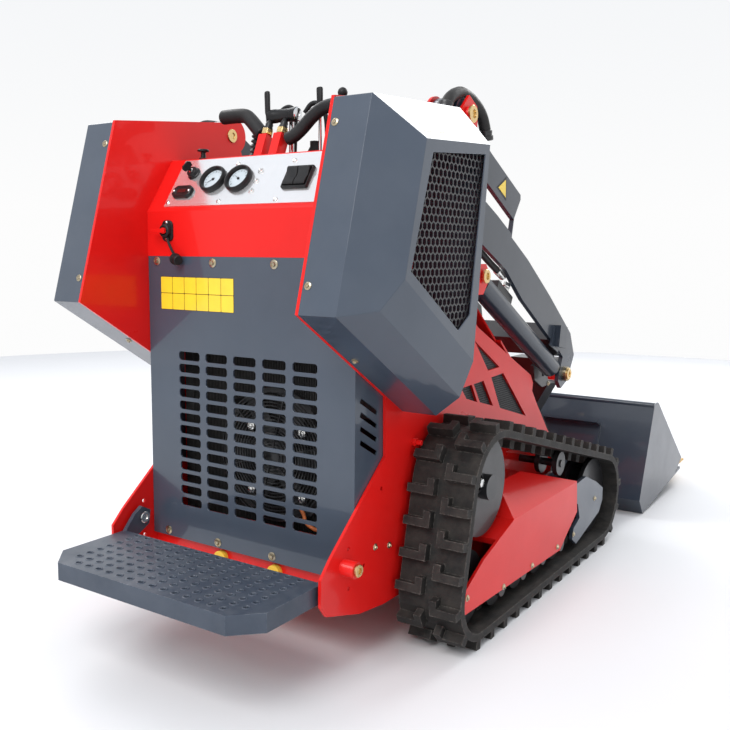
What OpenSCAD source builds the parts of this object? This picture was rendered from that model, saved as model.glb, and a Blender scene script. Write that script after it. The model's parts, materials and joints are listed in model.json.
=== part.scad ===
// Stand-on mini skid steer loader: rubber tracks, lift arms, bucket and fold-up platform.
// Millimetres. x is to the operator's right, z is up, and lengths y along the machine
// are counted forward from the back of the rear cover.

/* [Chassis] */
// Half width over the red side plates
side_x = 353; // [340:1:356]
// Thickness of the side plates
side_t = 8; // [6:1:10]
// Thickness of bent sheet covers
sheet_t = 5; // [4:1:6]
// Height of the chassis floor
floor_z = 134; // [130:1:140]
// Height of the rear cover's lower edge
cover_low_z = 225; // [215:1:235]
// Height where the rear cover ends and the console begins
cover_top_z = 1003; // [990:1:1010]
// Height of the console's upright rear face, below its slope
console_rear_h = 119; // [100:1:127]
// Depth of the console's sloping face, front to back
console_run = 95; // [85:1:105]
// Rise of the console's sloping face
console_rise = 144; // [135:1:150]

/* [Rear grille] */
// Columns of slots in the rear cover
grille_columns = 5; // [3:1:6]
// Rows of slots in the rear cover
grille_rows = 13; // [8:1:14]
// Distance between columns
grille_pitch_x = 97.5; // [90:0.5:100]
// Distance between rows
grille_pitch_z = 33.6; // [30:0.1:34]
// Width of one slot
slot_w = 76; // [60:1:80]
// Height of one slot
slot_h = 23; // [15:1:27]
// Height of the lowest row's middle
grille_z = 334; // [325:1:345]

/* [Side pods] */
// Outer face of the pods, from the middle of the machine
pod_x = 540; // [520:1:543]
// Wall thickness of the pods
pod_t = 4; // [3:1:6]
// Across-flats size of a hexagon in the pod mesh
hex_size = 27; // [22:1:30]
// Bar between two hexagons of the pod mesh
hex_bar = 6; // [4:1:8]

/* [Tracks] */
// Inner side of each track
track_in_x = 365; // [363:1:368]
// Width of each track
track_w = 180; // [175:1:182]
// Height of the lugs
lug_h = 24; // [18:1:26]
// Thickness of the belt
belt_t = 20; // [16:1:22]
// Wanted distance between lugs, rounded to a whole number of lugs
lug_pitch = 83; // [80:1:100]
// Length of a lug along the track
lug_l = 22; // [18:1:26]
// Radius of the drive sprocket's bend, to the lug tips
sprocket_r = 181; // [178:1:184]

/* [Arms] */
// Lift arm pivot, along and up
lift_pivot = [351, 1365];
// Outer face of the arm plates
arm_x = 402; // [400:1:404]
// Thickness of the arm plates
arm_t = 14; // [12:1:16]
// Pivot pin radius
lift_pin_r = 20; // [18:1:22]
// Lift cylinder's pin on the chassis, along and up
lift_base = [545, 955];
// Lift cylinder's pin on the arms, along and up
lift_eye = [1204, 610];
// Middle of the lift cylinders, from the middle of the machine
lift_cyl_x = 368; // [367:1:369]
// Radius of the lift cylinder barrels
lift_barrel_r = 34; // [30:1:34]

/* [Bucket] */
// Half width of the bucket
bucket_x = 551; // [540:1:560]
// Bucket plate thickness
bucket_t = 8; // [6:1:10]
// Bucket pivot on the arms' legs, along and up
tilt_pivot = [1640, 150];
// Tilt cylinder's pin on the cross beam, along and up
tilt_base = [1230, 808];
// Distance from the bucket pivot to the tilt cylinder's pin on the attach plate
tilt_crank = 190; // [185:1:195]
// Radius of the tilt cylinder's barrel
tilt_barrel_r = 30; // [26:1:30]

/* [Platform] */
// Half width of the platform
platform_x = 336; // [325:1:338]
// Height of the platform's deck
platform_z = 260; // [255:1:265]
// Platform pivot, along and up
platform_pivot = [-55, 285];
// Rear edge of the platform
platform_rear = -375; // [-380:1:-360]
// Height of the platform's edge
platform_h = 45; // [40:1:50]

/* [Hidden] */
$fn = 48;

console_knee_z = cover_top_z + console_rear_h;

// The row origin lies midway between the platform's rear edge and the tooth tips.
tooth_tip_y = 2490;
mid_y = (platform_rear + tooth_tip_y) / 2;
red = [0.85, 0.14, 0.12];
slate = [0.31, 0.35, 0.41];
dark = [0.12, 0.12, 0.13];
rubber = [0.2, 0.19, 0.18];
zinc = [0.75, 0.68, 0.5];
steel = [0.75, 0.76, 0.78];

// Clearances
run_gap = 0.05;
side_gap = 6;

// Upper front corner of the floor frame and the side plates
belly_front = [1240, 372];
// Side plate outline, [along, up], from the tail round under the floor
tail = [[-107, 318], [-144, 279], [-144, 214], [-122, 186], [15, 146]];
side_front = [belly_front, [1197, 405], [1043, 561], [1048, 593], [1028, 620], [915, 671], [621, 806],
  [545, 868], [538, 905], [572, 936], [576, 962], [548, 990], [505, 1000], [390, 1298]];
side_rear = [[-102, 1351], [-229, 885], [120, 666], [124, 516]];
side_outline = concat(tail, [[124, floor_z], [belly_front[0], floor_z]], side_front, [[351, 1403]], side_rear);

// Pod: four sections from the side plate outward; all edges stay parallel.
// Columns: x, rear edge set in, lower edge raised, upper edge dropped
pod_rows = [
  [side_x, 0, 0, 0],
  [450, 0, 0, 0],
  [511, 67, 55, 64],
  [pod_x, 100, 152, 95]];
pod_foot = [-229, 885];
pod_rear_slope = 0.2725;
pod_floor_slope = -0.62;
pod_front_foot = [203, 617];
pod_front_slope = 0.1176;
pod_top = [-102, 1347];
pod_top_slope = 0.066;

// Crossing of a steep line [y, z, dy/dz] with a flat line [y, z, dz/dy]
function crossing(steep, flat) =
  let (y = (steep[0] + steep[2] * (flat[1] - flat[2] * flat[0] - steep[1])) / (1 - steep[2] * flat[2]))
  [y, flat[1] + flat[2] * (y - flat[0])];
function pod_section(row, wall) =
  let (rear = [pod_foot[0] + row[1] + wall, pod_foot[1], pod_rear_slope])
  let (front = [pod_front_foot[0] - wall, pod_front_foot[1], pod_front_slope])
  let (low = [pod_foot[0], pod_foot[1] + row[2] + wall, pod_floor_slope])
  let (high = [pod_top[0], pod_top[1] - row[3] - wall, pod_top_slope])
  [crossing(rear, low), crossing(front, low), crossing(front, high), crossing(rear, high)];

// Track bends, counted forward along the ground: [along, up, radius to the lug tips]
bends = [[300, 148, 148], [1274, 175, 175], [390, 404, sprocket_r]];
bend_n = len(bends);
function bend_gap(i) = let (a = bends[i], b = bends[(i + 1) % bend_n]) norm([b[0] - a[0], b[1] - a[1]]);
// Angle of the outward normal on the straight run after bend i
function run_normal(i) =
  let (a = bends[i], b = bends[(i + 1) % bend_n])
  atan2(b[1] - a[1], b[0] - a[0]) - acos((a[2] - b[2]) / bend_gap(i));
function turn_start(i) = run_normal((i + bend_n - 1) % bend_n);
function turn_angle(i) = let (t = run_normal(i) - turn_start(i)) t - 360 * floor(t / 360);
function arc_length(i, inset) = (bends[i][2] - inset) * turn_angle(i) * PI / 180;
function run_length(i) = let (d = bends[i][2] - bends[(i + 1) % bend_n][2]) sqrt(pow(bend_gap(i), 2) - d * d);
function rim(i, angle, inset) =
  [bends[i][0] + (bends[i][2] - inset) * cos(angle), bends[i][1] + (bends[i][2] - inset) * sin(angle)];
turn_step = 12;
function loop_points(inset) = [for (i = [0:bend_n - 1])
  let (n = ceil(turn_angle(i) / turn_step))
  for (k = [0:n]) rim(i, turn_start(i) + turn_angle(i) * k / n, inset)];
// Place and normal at a distance along the loop: [along, up, normal]
function on_loop(s, inset, i = 0) =
  let (arc = arc_length(i, inset), run = run_length(i))
  s < arc ? let (a = turn_start(i) + s / arc * turn_angle(i)) concat(rim(i, a, inset), a)
  : s < arc + run ? let (p = rim(i, run_normal(i), inset), a = run_normal(i))
    [p[0] - (s - arc) * sin(a), p[1] + (s - arc) * cos(a), a]
  : on_loop(s - arc - run, inset, (i + 1) % bend_n);
function total(v, i = 0) = i < len(v) ? v[i] + total(v, i + 1) : 0;
loop_l = total([for (i = [0:bend_n - 1]) arc_length(i, lug_h) + run_length(i)]);
lug_n = round(loop_l / lug_pitch);
track_x = track_in_x + track_w / 2;

// Arms
arm_in_x = arm_x - arm_t;
arm_outline = [[451, 1366], [576, 1295], [784, 1194], [785, 1180], [743, 1124], [730, 1067], [856, 1002],
  [1048, 884], [1251, 748], [1294, 668], [1240, 585], [1178, 562], [1150, 590], [1156, 613], [1185, 670],
  [1136, 705], [1030, 762], [823, 880], [696, 973], [544, 1040], [455, 1085], [385, 1180], [303, 1365]];
arm_window = [[480, 1245], [567, 1207], [739, 1120], [727, 1078], [629, 1126], [540, 1165]];
beam_mid = [1183, 728];
beam_size = 78;
beam_turn = -49.6;
leg_in_x = 180;
leg_out_x = 240;
bracket_x = 326;

// Bucket in its rest attitude: [along, up]
bucket_outline = [[1684, 66], [1737, 2], [2200, 55], [2333, 116], [1891, 429], [1831, 418]];
back_foot = bucket_outline[0];
back_dir = unit(bucket_outline[5] - back_foot);
back_lean = atan2(back_dir[0], back_dir[1]);
// Distance from the bucket pivot to the bucket's back
back_off = (back_foot - tilt_pivot) * [back_dir[1], -back_dir[0]];
tilt_eye = tilt_pivot + tilt_crank * back_dir;
function unit(v) = v / norm(v);

module plate(x, t, outline) {
  translate([x, 0, 0]) rotate([90, 0, 90]) linear_extrude(t) polygon(outline);
}

module rod_x(x, at, r, l) {
  translate([x, at[0], at[1]]) rotate([0, 90, 0]) cylinder(r = r, h = l);
}

// Cylinder from one [along, up] place to another at the same x
module rod_between(x, a, b, r, start = 0, finish = 0) {
  d = b - a;
  l = norm(d);
  translate([x, a[0], a[1]]) rotate([atan2(d[1], d[0]) - 90, 0, 0]) translate([0, 0, start])
    cylinder(r = r, h = l - start - finish);
}

module block(x, y, z) {
  translate([x[0], y[0], z[0]]) cube([x[1] - x[0], y[1] - y[0], z[1] - z[0]]);
}

module on_side(side) {
  if (side > 0) children();
  else mirror([1, 0, 0]) children();
}

module both_sides() {
  children();
  mirror([1, 0, 0]) children();
}

module machine() {
  translate([0, -mid_y, 0]) children();
}

// Side plate with the arm pivot's ears, the platform's boss and the lift cylinder's bracket
ear_x = 445;
ear_outline = [[300, 1290], [303, 1366], [351, 1412], [395, 1390], [399, 1340], [330, 1240], [287, 1240]];
hood_slots = [
  [[602, 768], [697, 670], [778, 673]],
  [[525, 637], [557, 603], [630, 583], [590, 640]],
  [[603, 640], [647, 580], [739, 557], [668, 643]],
  [[721, 647], [790, 543], [997, 487], [807, 651]]];
// Round holes in the tail for the platform's lock pin: [along, up]
pin_holes = [[-35, 323], [-33, 225], [31, 263], [107, 438]];
pin_hole_r = 5.5;

module side_plate(side) {
  color(red) on_side(side) {
    difference() {
      plate(side_x - side_t, side_t, side_outline);
      for (q = hood_slots) plate(side_x - side_t - 1, side_t + 2, q);
      for (q = pin_holes) rod_x(side_x - side_t - 1, q, pin_hole_r, side_t + 2);
    }
    rod_x(side_x - side_t, lift_pivot, 52, side_t);
    rod_x(side_x - side_t, lift_pivot, lift_pin_r, ear_x - side_x + side_t + 9);
    rod_x(side_x, platform_pivot, 20, 38);
    rod_x(platform_x - 16, platform_pivot, 12, side_x - platform_x + 56);
    rod_x(side_x - side_t, lift_base, 16, lift_lug_x - side_x + 2 * side_t + 8);
    plate(ear_x - side_t, side_t, ear_outline);
    block([side_x, ear_x], [288, 288 + side_t], [1240, 1330]);
    lift_bracket();
  }
}

lift_lug_x = lift_cyl_x + 26;
module lift_bracket() {
  lug = [[505, 925], [505, 975], [525, 990], [562, 990], [580, 970], [576, 936], [548, 905], [505, 905]];
  plate(lift_lug_x, side_t, lug);
  block([side_x, lift_lug_x + side_t], [497, 505], [905, 975]);
}

// Floor between the side plates with its front wall, rear cross plate and sloping rear end
module belly_frame() {
  w = side_x - side_t;
  top = floor_z + side_t;
  color(red) {
    block([-w, w], [124, belly_front[0]], [floor_z, top]);
    block([-w, w], [belly_front[0] - side_t, belly_front[0]], [top, belly_front[1]]);
    block([-w, w], [15, 15 + side_t], [160, cover_low_z + 90]);
    plate(-w, 2 * w, [[15, 150], [124, floor_z], [124, top], [15 + side_t, 160]]);
  }
}

louvre_pitch = 33.7;
module rear_cover() {
  w = side_x - side_t - 1;
  x0 = -(grille_columns - 1) * grille_pitch_x / 2;
  color(slate) difference() {
    union() {
      block([-w, w], [0, sheet_t], [cover_low_z, cover_top_z]);
      block([-w, -w + sheet_t], [sheet_t, 125], [410, 760]);
      block([w - sheet_t, w], [sheet_t, 125], [410, 760]);
    }
    for (i = [0:grille_columns - 1])
      for (j = [0:grille_rows - 1])
        translate([x0 + i * grille_pitch_x, 0, grille_z + j * grille_pitch_z])
          slot(slot_w, slot_h, 5, 3 * sheet_t);
    for (k = [0:3])
      for (s = [-1, 1])
        translate([s * w, 60, 547.5 + louvre_pitch * k]) rotate([-29, 0, 0])
          block([-12, 12], [-42, 42], [-6, 6]);
  }
}

// Slot through the y direction with cut corners
module slot(w, h, c, depth) {
  rotate([90, 0, 0]) translate([0, 0, -depth]) linear_extrude(2 * depth)
    polygon([[-w / 2 + c, -h / 2], [w / 2 - c, -h / 2], [w / 2, -h / 2 + c], [w / 2, h / 2 - c],
      [w / 2 - c, h / 2], [-w / 2 + c, h / 2], [-w / 2, h / 2 - c], [-w / 2, -h / 2 + c]]);
}

console_w = side_x - side_t;
console_top = [console_run, console_knee_z + console_rise];
module console() {
  t = sheet_t;
  outer = [[0, cover_top_z], [0, console_knee_z], console_top, [console_run + 30, console_top[1]],
    [console_run + 30, cover_top_z]];
  inner = [[t, cover_top_z - 1], [t, console_knee_z - 2], [console_top[0] + 2, console_top[1] - t],
    [console_run + 30 - t, console_top[1] - t], [console_run + 30 - t, cover_top_z - 1]];
  color(red) {
    difference() {
      plate(-console_w, 2 * console_w, outer);
      plate(-console_w - 1, 2 * console_w + 2, inner);
    }
    for (x = [-48, 2]) translate([x, console_top[0], console_top[1] - 1]) rotate([-22, 0, 0])
      block([0, 26], [0, 34], [0, 62]);
  }
}

// Frame of the sloping face: x across, first axis up the slope, second out of it
module on_slope(x, s) {
  translate([x, 0, console_knee_z]) rotate([90 - atan(console_run / console_rise), 0, 0])
    translate([0, s, 0]) children();
}
slope_l = norm([console_run, console_rise]);

module instrument_panel() {
  color([0.86, 0.87, 0.88]) on_slope(0, 0) block([-286, 286], [14, slope_l - 6], [0, 3]);
}

// Gauges on the panel: [across, up the slope, radius]
gauges_at = [[-142, 93, 40], [-53, 91, 40]];
module gauges() {
  color(dark) for (g = gauges_at) on_slope(g[0], g[1]) translate([0, 0, 3]) difference() {
    cylinder(r = g[2], h = 16);
    translate([0, 0, 12]) cylinder(r = g[2] - 7, h = 10);
  }
}

module panel_switches() {
  color(dark) {
    on_slope(-226, 118) translate([0, 0, 3]) cylinder(r = 19, h = 12);
    on_slope(-235, 58) block([-24, 24], [-16, 16], [3, 13]);
    for (s = [52, 84, 115]) on_slope(7, s) translate([0, 0, 3]) cylinder(r = 8, h = 7);
    on_slope(146, 86) block([-38, 38], [-32, 32], [3, 17]);
    translate([-274, 0, console_knee_z - 52]) rotate([90, 0, 0]) cylinder(r = 22, h = 22);
  }
}

module pod_solid(wall, extra) {
  rows = [for (r = pod_rows) [r[0] - (r[0] > side_x ? wall : extra), r[1], r[2], r[3]]];
  points = [for (r = rows) for (p = pod_section(r, wall)) [r[0], p[0], p[1]]];
  skin = [for (k = [0:2]) for (i = [0:3])
    let (j = (i + 1) % 4) [4 * k + i, 4 * k + 4 + i, 4 * k + 4 + j, 4 * k + j]];
  polyhedron(points, concat([[0, 1, 2, 3], [15, 14, 13, 12]], skin));
}

pod_side = pod_section(pod_rows[3], 0);
window_edge = 26;
pod_window = [
  pod_side[0] + [window_edge, window_edge * 0.6],
  pod_side[1] + [-window_edge * 3.2, window_edge * 3.1],
  pod_side[1] + [-window_edge, window_edge * 4.4],
  pod_side[2] + [-window_edge, -window_edge],
  pod_side[3] + [window_edge * 1.2, -window_edge]];

module pod(side) {
  color(slate) on_side(side) difference() {
    pod_solid(0, 0);
    pod_solid(pod_t, 1);
    plate(pod_x - 20, 40, pod_window);
  }
}

module pod_mesh(side) {
  pitch = hex_size + hex_bar;
  color(dark) on_side(side) intersection() {
    plate(pod_x - pod_t - 3, 3, [for (p = pod_window) p + [p[0] > 100 ? 8 : -8, p[1] > 1100 ? 8 : -8]]);
    translate([pod_x - pod_t - 4, 0, 0]) difference() {
      block([0, 5], [-150, 320], [700, 1400]);
      for (i = [0:11]) for (j = [0:19])
        let (y = -112 + i * pitch + (j % 2) * pitch / 2, z = 778 + j * pitch * 0.866)
        if (inside(pod_window, [y, z]))
          translate([-1, y, z]) rotate([0, 90, 0]) cylinder(d = hex_size / cos(30), h = 8, $fn = 6);
    }
  }
}
// True when a place lies inside a convex outline that runs anticlockwise
function inside(outline, p) =
  min([for (i = [0:len(outline) - 1])
    let (a = outline[i], b = outline[(i + 1) % len(outline)], d = b - a)
    (d[0] * (p[1] - a[1]) - d[1] * (p[0] - a[0])) / norm(d)]) > hex_size * 0.3;

hood_line = [[400, 1282], [612, 900], [1003, 597], [1050, 577], [1172, 437], [1232, 372]];
module hood() {
  t = sheet_t;
  under = [for (i = [len(hood_line) - 1:-1:0]) hood_line[i] - [t, t]];
  color(red) {
    difference() {
      plate(-side_x + side_t, 2 * (side_x - side_t), concat(hood_line, under));
      both_sides() block([lift_cyl_x - lift_barrel_r - side_gap, side_x], [500, 800], [740, 1100]);
    }
  }
}

module hood_meshes() {
  color(dark) both_sides() plate(side_x - side_t - 2, 2, [[500, 460], [500, 700], [590, 790],
    [640, 780], [1040, 500], [1040, 460]]);
}

module engine() {
  color(dark) block([-200, 200], [400, 800], [floor_z + side_t, 540]);
}

radiator_foot_z = 152;
module radiator() {
  color(dark) {
    block([-250, 250], [75, 115], [290, 790]);
    block([-280, -250], [70, 120], [radiator_foot_z, 820]);
    block([250, 280], [70, 120], [radiator_foot_z, 820]);
  }
}

module cooling_fan() {
  color(dark) translate([55, 75, 490]) rotate([90, 0, 0]) {
    cylinder(r = 60, h = 22);
    for (a = [0:60:300]) rotate([0, 0, a]) translate([40, -28, 4]) cube([130, 56, 6]);
    difference() {
      cylinder(r = 178, h = 14);
      translate([0, 0, -1]) cylinder(r = 166, h = 16);
    }
  }
}

module control_valve() {
  color(dark) {
    block([-160, 190], [150, 240], [1130, 1210]);
    for (x = [0:55:165]) translate([x, 195, 1205]) cylinder(r = 17, h = 40);
    translate([-66, 200, 1200]) cylinder(r = 22, h = 30);
    block([-side_x + side_t, side_x - side_t], [125, 260], [1118, 1130]);
  }
}

// Control levers: [across, along, foot height, top height, radius]
levers = [[-66, 200, 1230, 1318, 16], [0, 195, 1245, 1440, 9], [55, 195, 1245, 1440, 9],
  [110, 195, 1245, 1430, 9], [165, 195, 1245, 1450, 9]];
module control_levers() {
  color(dark) {
    for (l = levers) translate([l[0], l[1], l[2]]) cylinder(r = l[4], h = l[3] - l[2]);
    translate([-30, 193, 1364]) rotate([0, 90, 0]) cylinder(r = 19, h = 92);
  }
}

grip_r = 19;
module grip_bars() {
  color(dark) {
    tube([[-200, 150, 1380], [-115, 150, 1378], [-92, 149, 1370], [-74, 138, 1332], [-64, 131, 1306],
      [-59, 130, 1300], [-48.4, 130, 1300]], grip_r);
    tube([[28.4, 130, 1300], [39, 130, 1300], [46, 131, 1306], [64, 140, 1328], [100, 149, 1366],
      [124, 150, 1376], [205, 150, 1380]], grip_r);
  }
}

// Tube swept along a path, with a ring of sides at each point
tube_sides = 12;
function heading(path, i) = unit(path[min(i + 1, len(path) - 1)] - path[max(i - 1, 0)]);
function ring(path, i, r, lift) =
  let (h = heading(path, i), u = unit(cross(h, lift)), v = cross(h, u))
  [for (k = [0:tube_sides - 1]) let (a = 360 * k / tube_sides) path[i] + r * (cos(a) * u + sin(a) * v)];
module tube(path, r, lift = [0, 1, 0.01]) {
  n = len(path);
  m = tube_sides;
  points = [for (i = [0:n - 1]) for (p = ring(path, i, r, lift)) p];
  skin = [for (i = [0:n - 2]) for (k = [0:m - 1])
    [i * m + k, i * m + (k + 1) % m, (i + 1) * m + (k + 1) % m, (i + 1) * m + k]];
  start = [for (k = [m - 1:-1:0]) k];
  finish = [for (k = [0:m - 1]) (n - 1) * m + k];
  polyhedron(points, concat([start, finish], skin));
}

// Hoses that loop from the chassis over each arm pivot
hose_path = [[422, 250, 1371], [422, 250, 1392], [422, 266, 1418], [422, 300, 1438], [422, 340, 1446],
  [422, 385, 1438], [422, 420, 1410], [422, 440, 1370]];
module arm_hoses() {
  color(dark) both_sides() tube(hose_path, 10, [1, 0, 0]);
}

foot_l = 20;
foot_w = 20;
groove_w = 26;
guide_h = 24;
module track(side) {
  half = track_w / 2;
  color(rubber) on_side(side) translate([track_x, 0, 0]) {
    rotate([90, 0, 90]) translate([0, 0, -half]) linear_extrude(track_w) difference() {
      polygon(loop_points(lug_h));
      polygon(loop_points(lug_h + belt_t));
    }
    for (k = [0:lug_n - 1]) for (s = [-1, 1])
      let (p = on_loop((k + (s > 0 ? 0.5 : 0)) * loop_l / lug_n, lug_h))
      translate([0, p[0], p[1]]) rotate([p[2], 0, 0]) lug(s, half - 1);
    for (k = [0:lug_n - 1])
      let (p = on_loop((k + 0.25) * loop_l / lug_n, lug_h))
      translate([0, p[0], p[1]]) rotate([p[2], 0, 0])
        block([-18, 18], [-belt_t - guide_h, -belt_t + 2], [-15, 15]);
  }
}
// Half lug: bar from the edge to the middle groove, with a foot beside the groove
module lug(s, half) {
  g = groove_w / 2;
  rotate([-90, 0, 0]) translate([0, 0, -2]) linear_extrude(lug_h + 2)
    polygon([[s * g, -lug_l / 2], [s * half, -lug_l / 2], [s * half, lug_l / 2],
      [s * (g + foot_w), lug_l / 2], [s * (g + foot_w), lug_l / 2 + foot_l], [s * g, lug_l / 2 + foot_l]]);
}

frame_out_x = 530;
frame_in_x = 385;
frame_side = [[216, 110], [887, 92], [936, 125], [1030, 181], [1017, 288], [740, 366], [575, 366],
  [517, 285], [331, 225], [203, 160]];
frame_hollow = [[410, 20], [1100, 20], [1100, 260], [1004, 278], [737, 354], [580, 354], [524, 273],
  [410, 235]];
module track_frame(side) {
  t = side_t;
  color(red) on_side(side) {
    difference() {
      intersection() {
        plate(frame_in_x, frame_out_x - frame_in_x, frame_side);
        translate([0, 1200, 0]) rotate([90, 0, 0]) linear_extrude(1200)
          polygon([[frame_in_x, 60], [frame_out_x, 60], [frame_out_x, 286], [450, 366], [frame_in_x, 366]]);
      }
      block([frame_in_x + t, frame_out_x - t], [100, 420], [20, 400]);
      intersection() {
        plate(frame_in_x + t, frame_out_x - frame_in_x - 2 * t, frame_hollow);
        translate([0, 1200, 0]) rotate([90, 0, 0]) linear_extrude(1200)
          polygon([[frame_in_x + t, 10], [frame_out_x - t, 10], [frame_out_x - t, 276], [446, 355],
            [frame_in_x + t, 355]]);
      }
    }
    for (y = [600, 880]) block([side_x, frame_in_x], [y, y + 80], [170, 250]);
  }
}

bracket_side = [[930, 262], [1041, 272], [1129, 278], [1240, 236], [1312, 200], [1312, 154], [1280, 118],
  [1057, 62], [1017, 89], [1026, 124], [1080, 146], [1058, 200], [930, 200]];
module idler_brackets() {
  color(slate) both_sides() {
    plate(frame_out_x - side_t - 12, 12, bracket_side);
    plate(frame_in_x + side_t, 12, bracket_side);
    block([frame_in_x + side_t + 12, frame_out_x - side_t - 12], [1068, 1082], [200, 270]);
  }
}

wheel_gap = 1.2;
function bend_inner_r(i) = bends[i][2] - lug_h - belt_t - wheel_gap;
module drive_sprockets() {
  at = [bends[2][0], bends[2][1]];
  r = bend_inner_r(2);
  color(dark) both_sides() {
    for (x = [400, 474]) rod_x(x, at, r, 20);
    rod_x(420, at, r - guide_h - 12, 54);
    rod_x(side_x, at, 70, 47);
    rod_x(494, at, 34, 26);
  }
}

module track_idlers() {
  color(slate) both_sides() for (i = [0, 1]) {
    at = [bends[i][0], bends[i][1]];
    r = bend_inner_r(i);
    for (x = [418, 478]) rod_x(x, at, r, 14);
    rod_x(432, at, r - guide_h - 10, 46);
    wall = side_t + (i == 0 ? 0 : 12);
    rod_x(frame_in_x + wall, at, 24, frame_out_x - frame_in_x - 2 * wall);
  }
}

// Rollers inside the loop: [along, up, radius]
rollers = [[470, 100, 52], [620, 100, 52], [770, 100, 52], [920, 100, 52]];
module track_rollers() {
  color(slate) both_sides() {
    for (q = rollers) {
      for (x = [418, 478]) rod_x(x, [q[0], q[1]], q[2], 18);
      rod_x(frame_in_x + side_t, [q[0], q[1]], 22, frame_out_x - frame_in_x - 2 * side_t);
    }
    for (x = [418, 478]) rod_x(x, [960, 352], 38, 16);
    rod_x(side_x, [960, 352], 12, 145);
  }
}

module bumpers() {
  color([0.9, 0.75, 0.2])
    for (x = [-95, 92]) translate([x, 15, 196]) rotate([90, 0, 0]) cylinder(r = 20, h = 14);
}

module arm(side) {
  color(slate) on_side(side) difference() {
    union() {
      plate(arm_in_x, arm_t, arm_outline);
      rod_x(side_x + side_gap, lift_pivot, 46, ear_x - side_t - side_x - 2 * side_gap);
      translate([arm_x, 1126, 745]) rotate([beam_turn - 50, 0, 0]) block([0, 22], [-36, 36], [-32, 32]);
    }
    rod_x(side_x, lift_pivot, lift_pin_r + run_gap, 100);
    plate(arm_in_x - 1, arm_t + 2, arm_window);
    rod_x(arm_in_x - 1, lift_eye, 16 + run_gap, arm_t + 2);
  }
}

// Inner face of the lugs that hold the tilt cylinder, and their outline
tilt_lug_x = 40;
tilt_lug = [[1170, 780], [1198, 828], [1230, 844], [1260, 828], [1270, 788], [1225, 700], [1190, 700]];
module cross_beam() {
  color(dark) {
    translate([0, beam_mid[0], beam_mid[1]]) rotate([beam_turn, 0, 0])
      block([-arm_in_x, arm_in_x], [-beam_size / 2, beam_size / 2], [-beam_size / 2, beam_size / 2]);
    for (x = [-tilt_lug_x - 12, tilt_lug_x]) plate(x, 12, tilt_lug);
    rod_x(-tilt_lug_x - 16, tilt_base, 14, 2 * tilt_lug_x + 32);
  }
}

// Leg with the bracket that carries it under the cross beam's end
module leg(side) {
  color(dark) on_side(side) {
    difference() {
      plate(bracket_x - 12, 12, leg_bracket);
      rod_x(bracket_x - 13, lift_eye, 16 + run_gap, 14);
    }
    sloping_gusset();
    leg_plate();
  }
}
leg_bracket = [[1114, 640], [1127, 590], [1200, 556], [1280, 560], [1330, 600], [1296, 668], [1262, 690],
  [1208, 698], [1170, 659]];

// Plate that carries each leg inward from the bracket, clear of the track
module sloping_gusset() {
  rotate([90, 0, 0]) translate([0, 0, -1350]) linear_extrude(100)
    polygon([[bracket_x, 560], [bracket_x, 650], [leg_in_x, 650], [leg_in_x, 400], [leg_out_x, 400]]);
}

module leg_plate() {
  w = leg_out_x - leg_in_x;
  difference() {
    union() {
      plate(leg_in_x, w, [[1250, 640], [1250, 470], [1300, 390], [1345, 340], [1590, 140], [1600, 118],
        [1640, 105], [1680, 130], [1685, 165], [1400, 440], [1350, 560], [1330, 650]]);
      rod_x(leg_in_x, tilt_pivot, 45, w);
    }
    rod_x(leg_in_x - 1, tilt_pivot, 16 + run_gap, w + 2);
  }
}

module arm_pins() {
  color(zinc) both_sides() {
    rod_x(arm_x, lift_eye, 25, 14);
    rod_x(bracket_x - 26, lift_eye, 25, 14);
  }
}

// Cylinder barrel between two pins: its middle x, radius, half width of the eye, pin radius,
// and the distance that it leaves at the rod's end
rod_r = 17;
bore_start = 70;
module barrel(x, a, b, r, eye, pin_r, dead) {
  difference() {
    union() {
      rod_between(x, a, b, r, 42, dead);
      rod_between(x, a, b, min(eye, r) * 0.9, 10, norm(b - a) - 60);
      rod_x(x - eye, a, 30, 2 * eye);
    }
    rod_between(x, a, b, rod_r + run_gap, bore_start, dead - 1);
    rod_x(x - eye - 1, a, pin_r + run_gap, 2 * eye + 2);
  }
}

// Piston rod; its inner end stands off the bore's end by the room that it needs to slide back
module piston_rod(x, a, b, eye, eye_r, room) {
  rod_between(x, a, b, rod_r, bore_start + room, eye_r * 0.6);
  rod_x(x - eye, b, eye_r, 2 * eye);
}

lift_dead = 52;
tilt_dead = 120;
module lift_barrels() {
  color(slate) both_sides() barrel(lift_cyl_x, lift_base, lift_eye, lift_barrel_r, 15, 16, lift_dead);
}

module lift_rods() {
  color(steel) both_sides() piston_rod(lift_cyl_x, lift_base, lift_eye, 15, 30, 10);
}

module tilt_barrel() {
  color(slate) barrel(0, tilt_base, tilt_eye, tilt_barrel_r, tilt_lug_x - 1, 14, tilt_dead);
}

module tilt_rod() {
  color(steel) piston_rod(0, tilt_base, tilt_eye, 20, 28, 60);
}

// Frame of the attach plate: y out of the bucket's back, z up along it
module at_back() {
  translate([0, tilt_pivot[0], tilt_pivot[1]]) rotate([-back_lean, 0, 0]) children();
}

module attach_plate() {
  color(slate) difference() {
    union() {
      at_back() {
        block([-350, 350], [back_off - 12, back_off], [-60, 232]);
        both_sides() block([30, 350], [back_off - 60, back_off - 12], [220, 232]);
        for (x = [-256, -174, 164, 246]) block([x, x + 10], [-32, back_off - 12], [-50, 100]);
        for (x = [-40, 30]) block([x, x + 10], [-32, back_off - 12], [130, 220]);
      }
      for (x = [-262, 158]) rod_x(x, tilt_pivot, 16, 104);
    }
    rod_x(-60, tilt_eye, 14 + run_gap, 120);
  }
}

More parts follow.
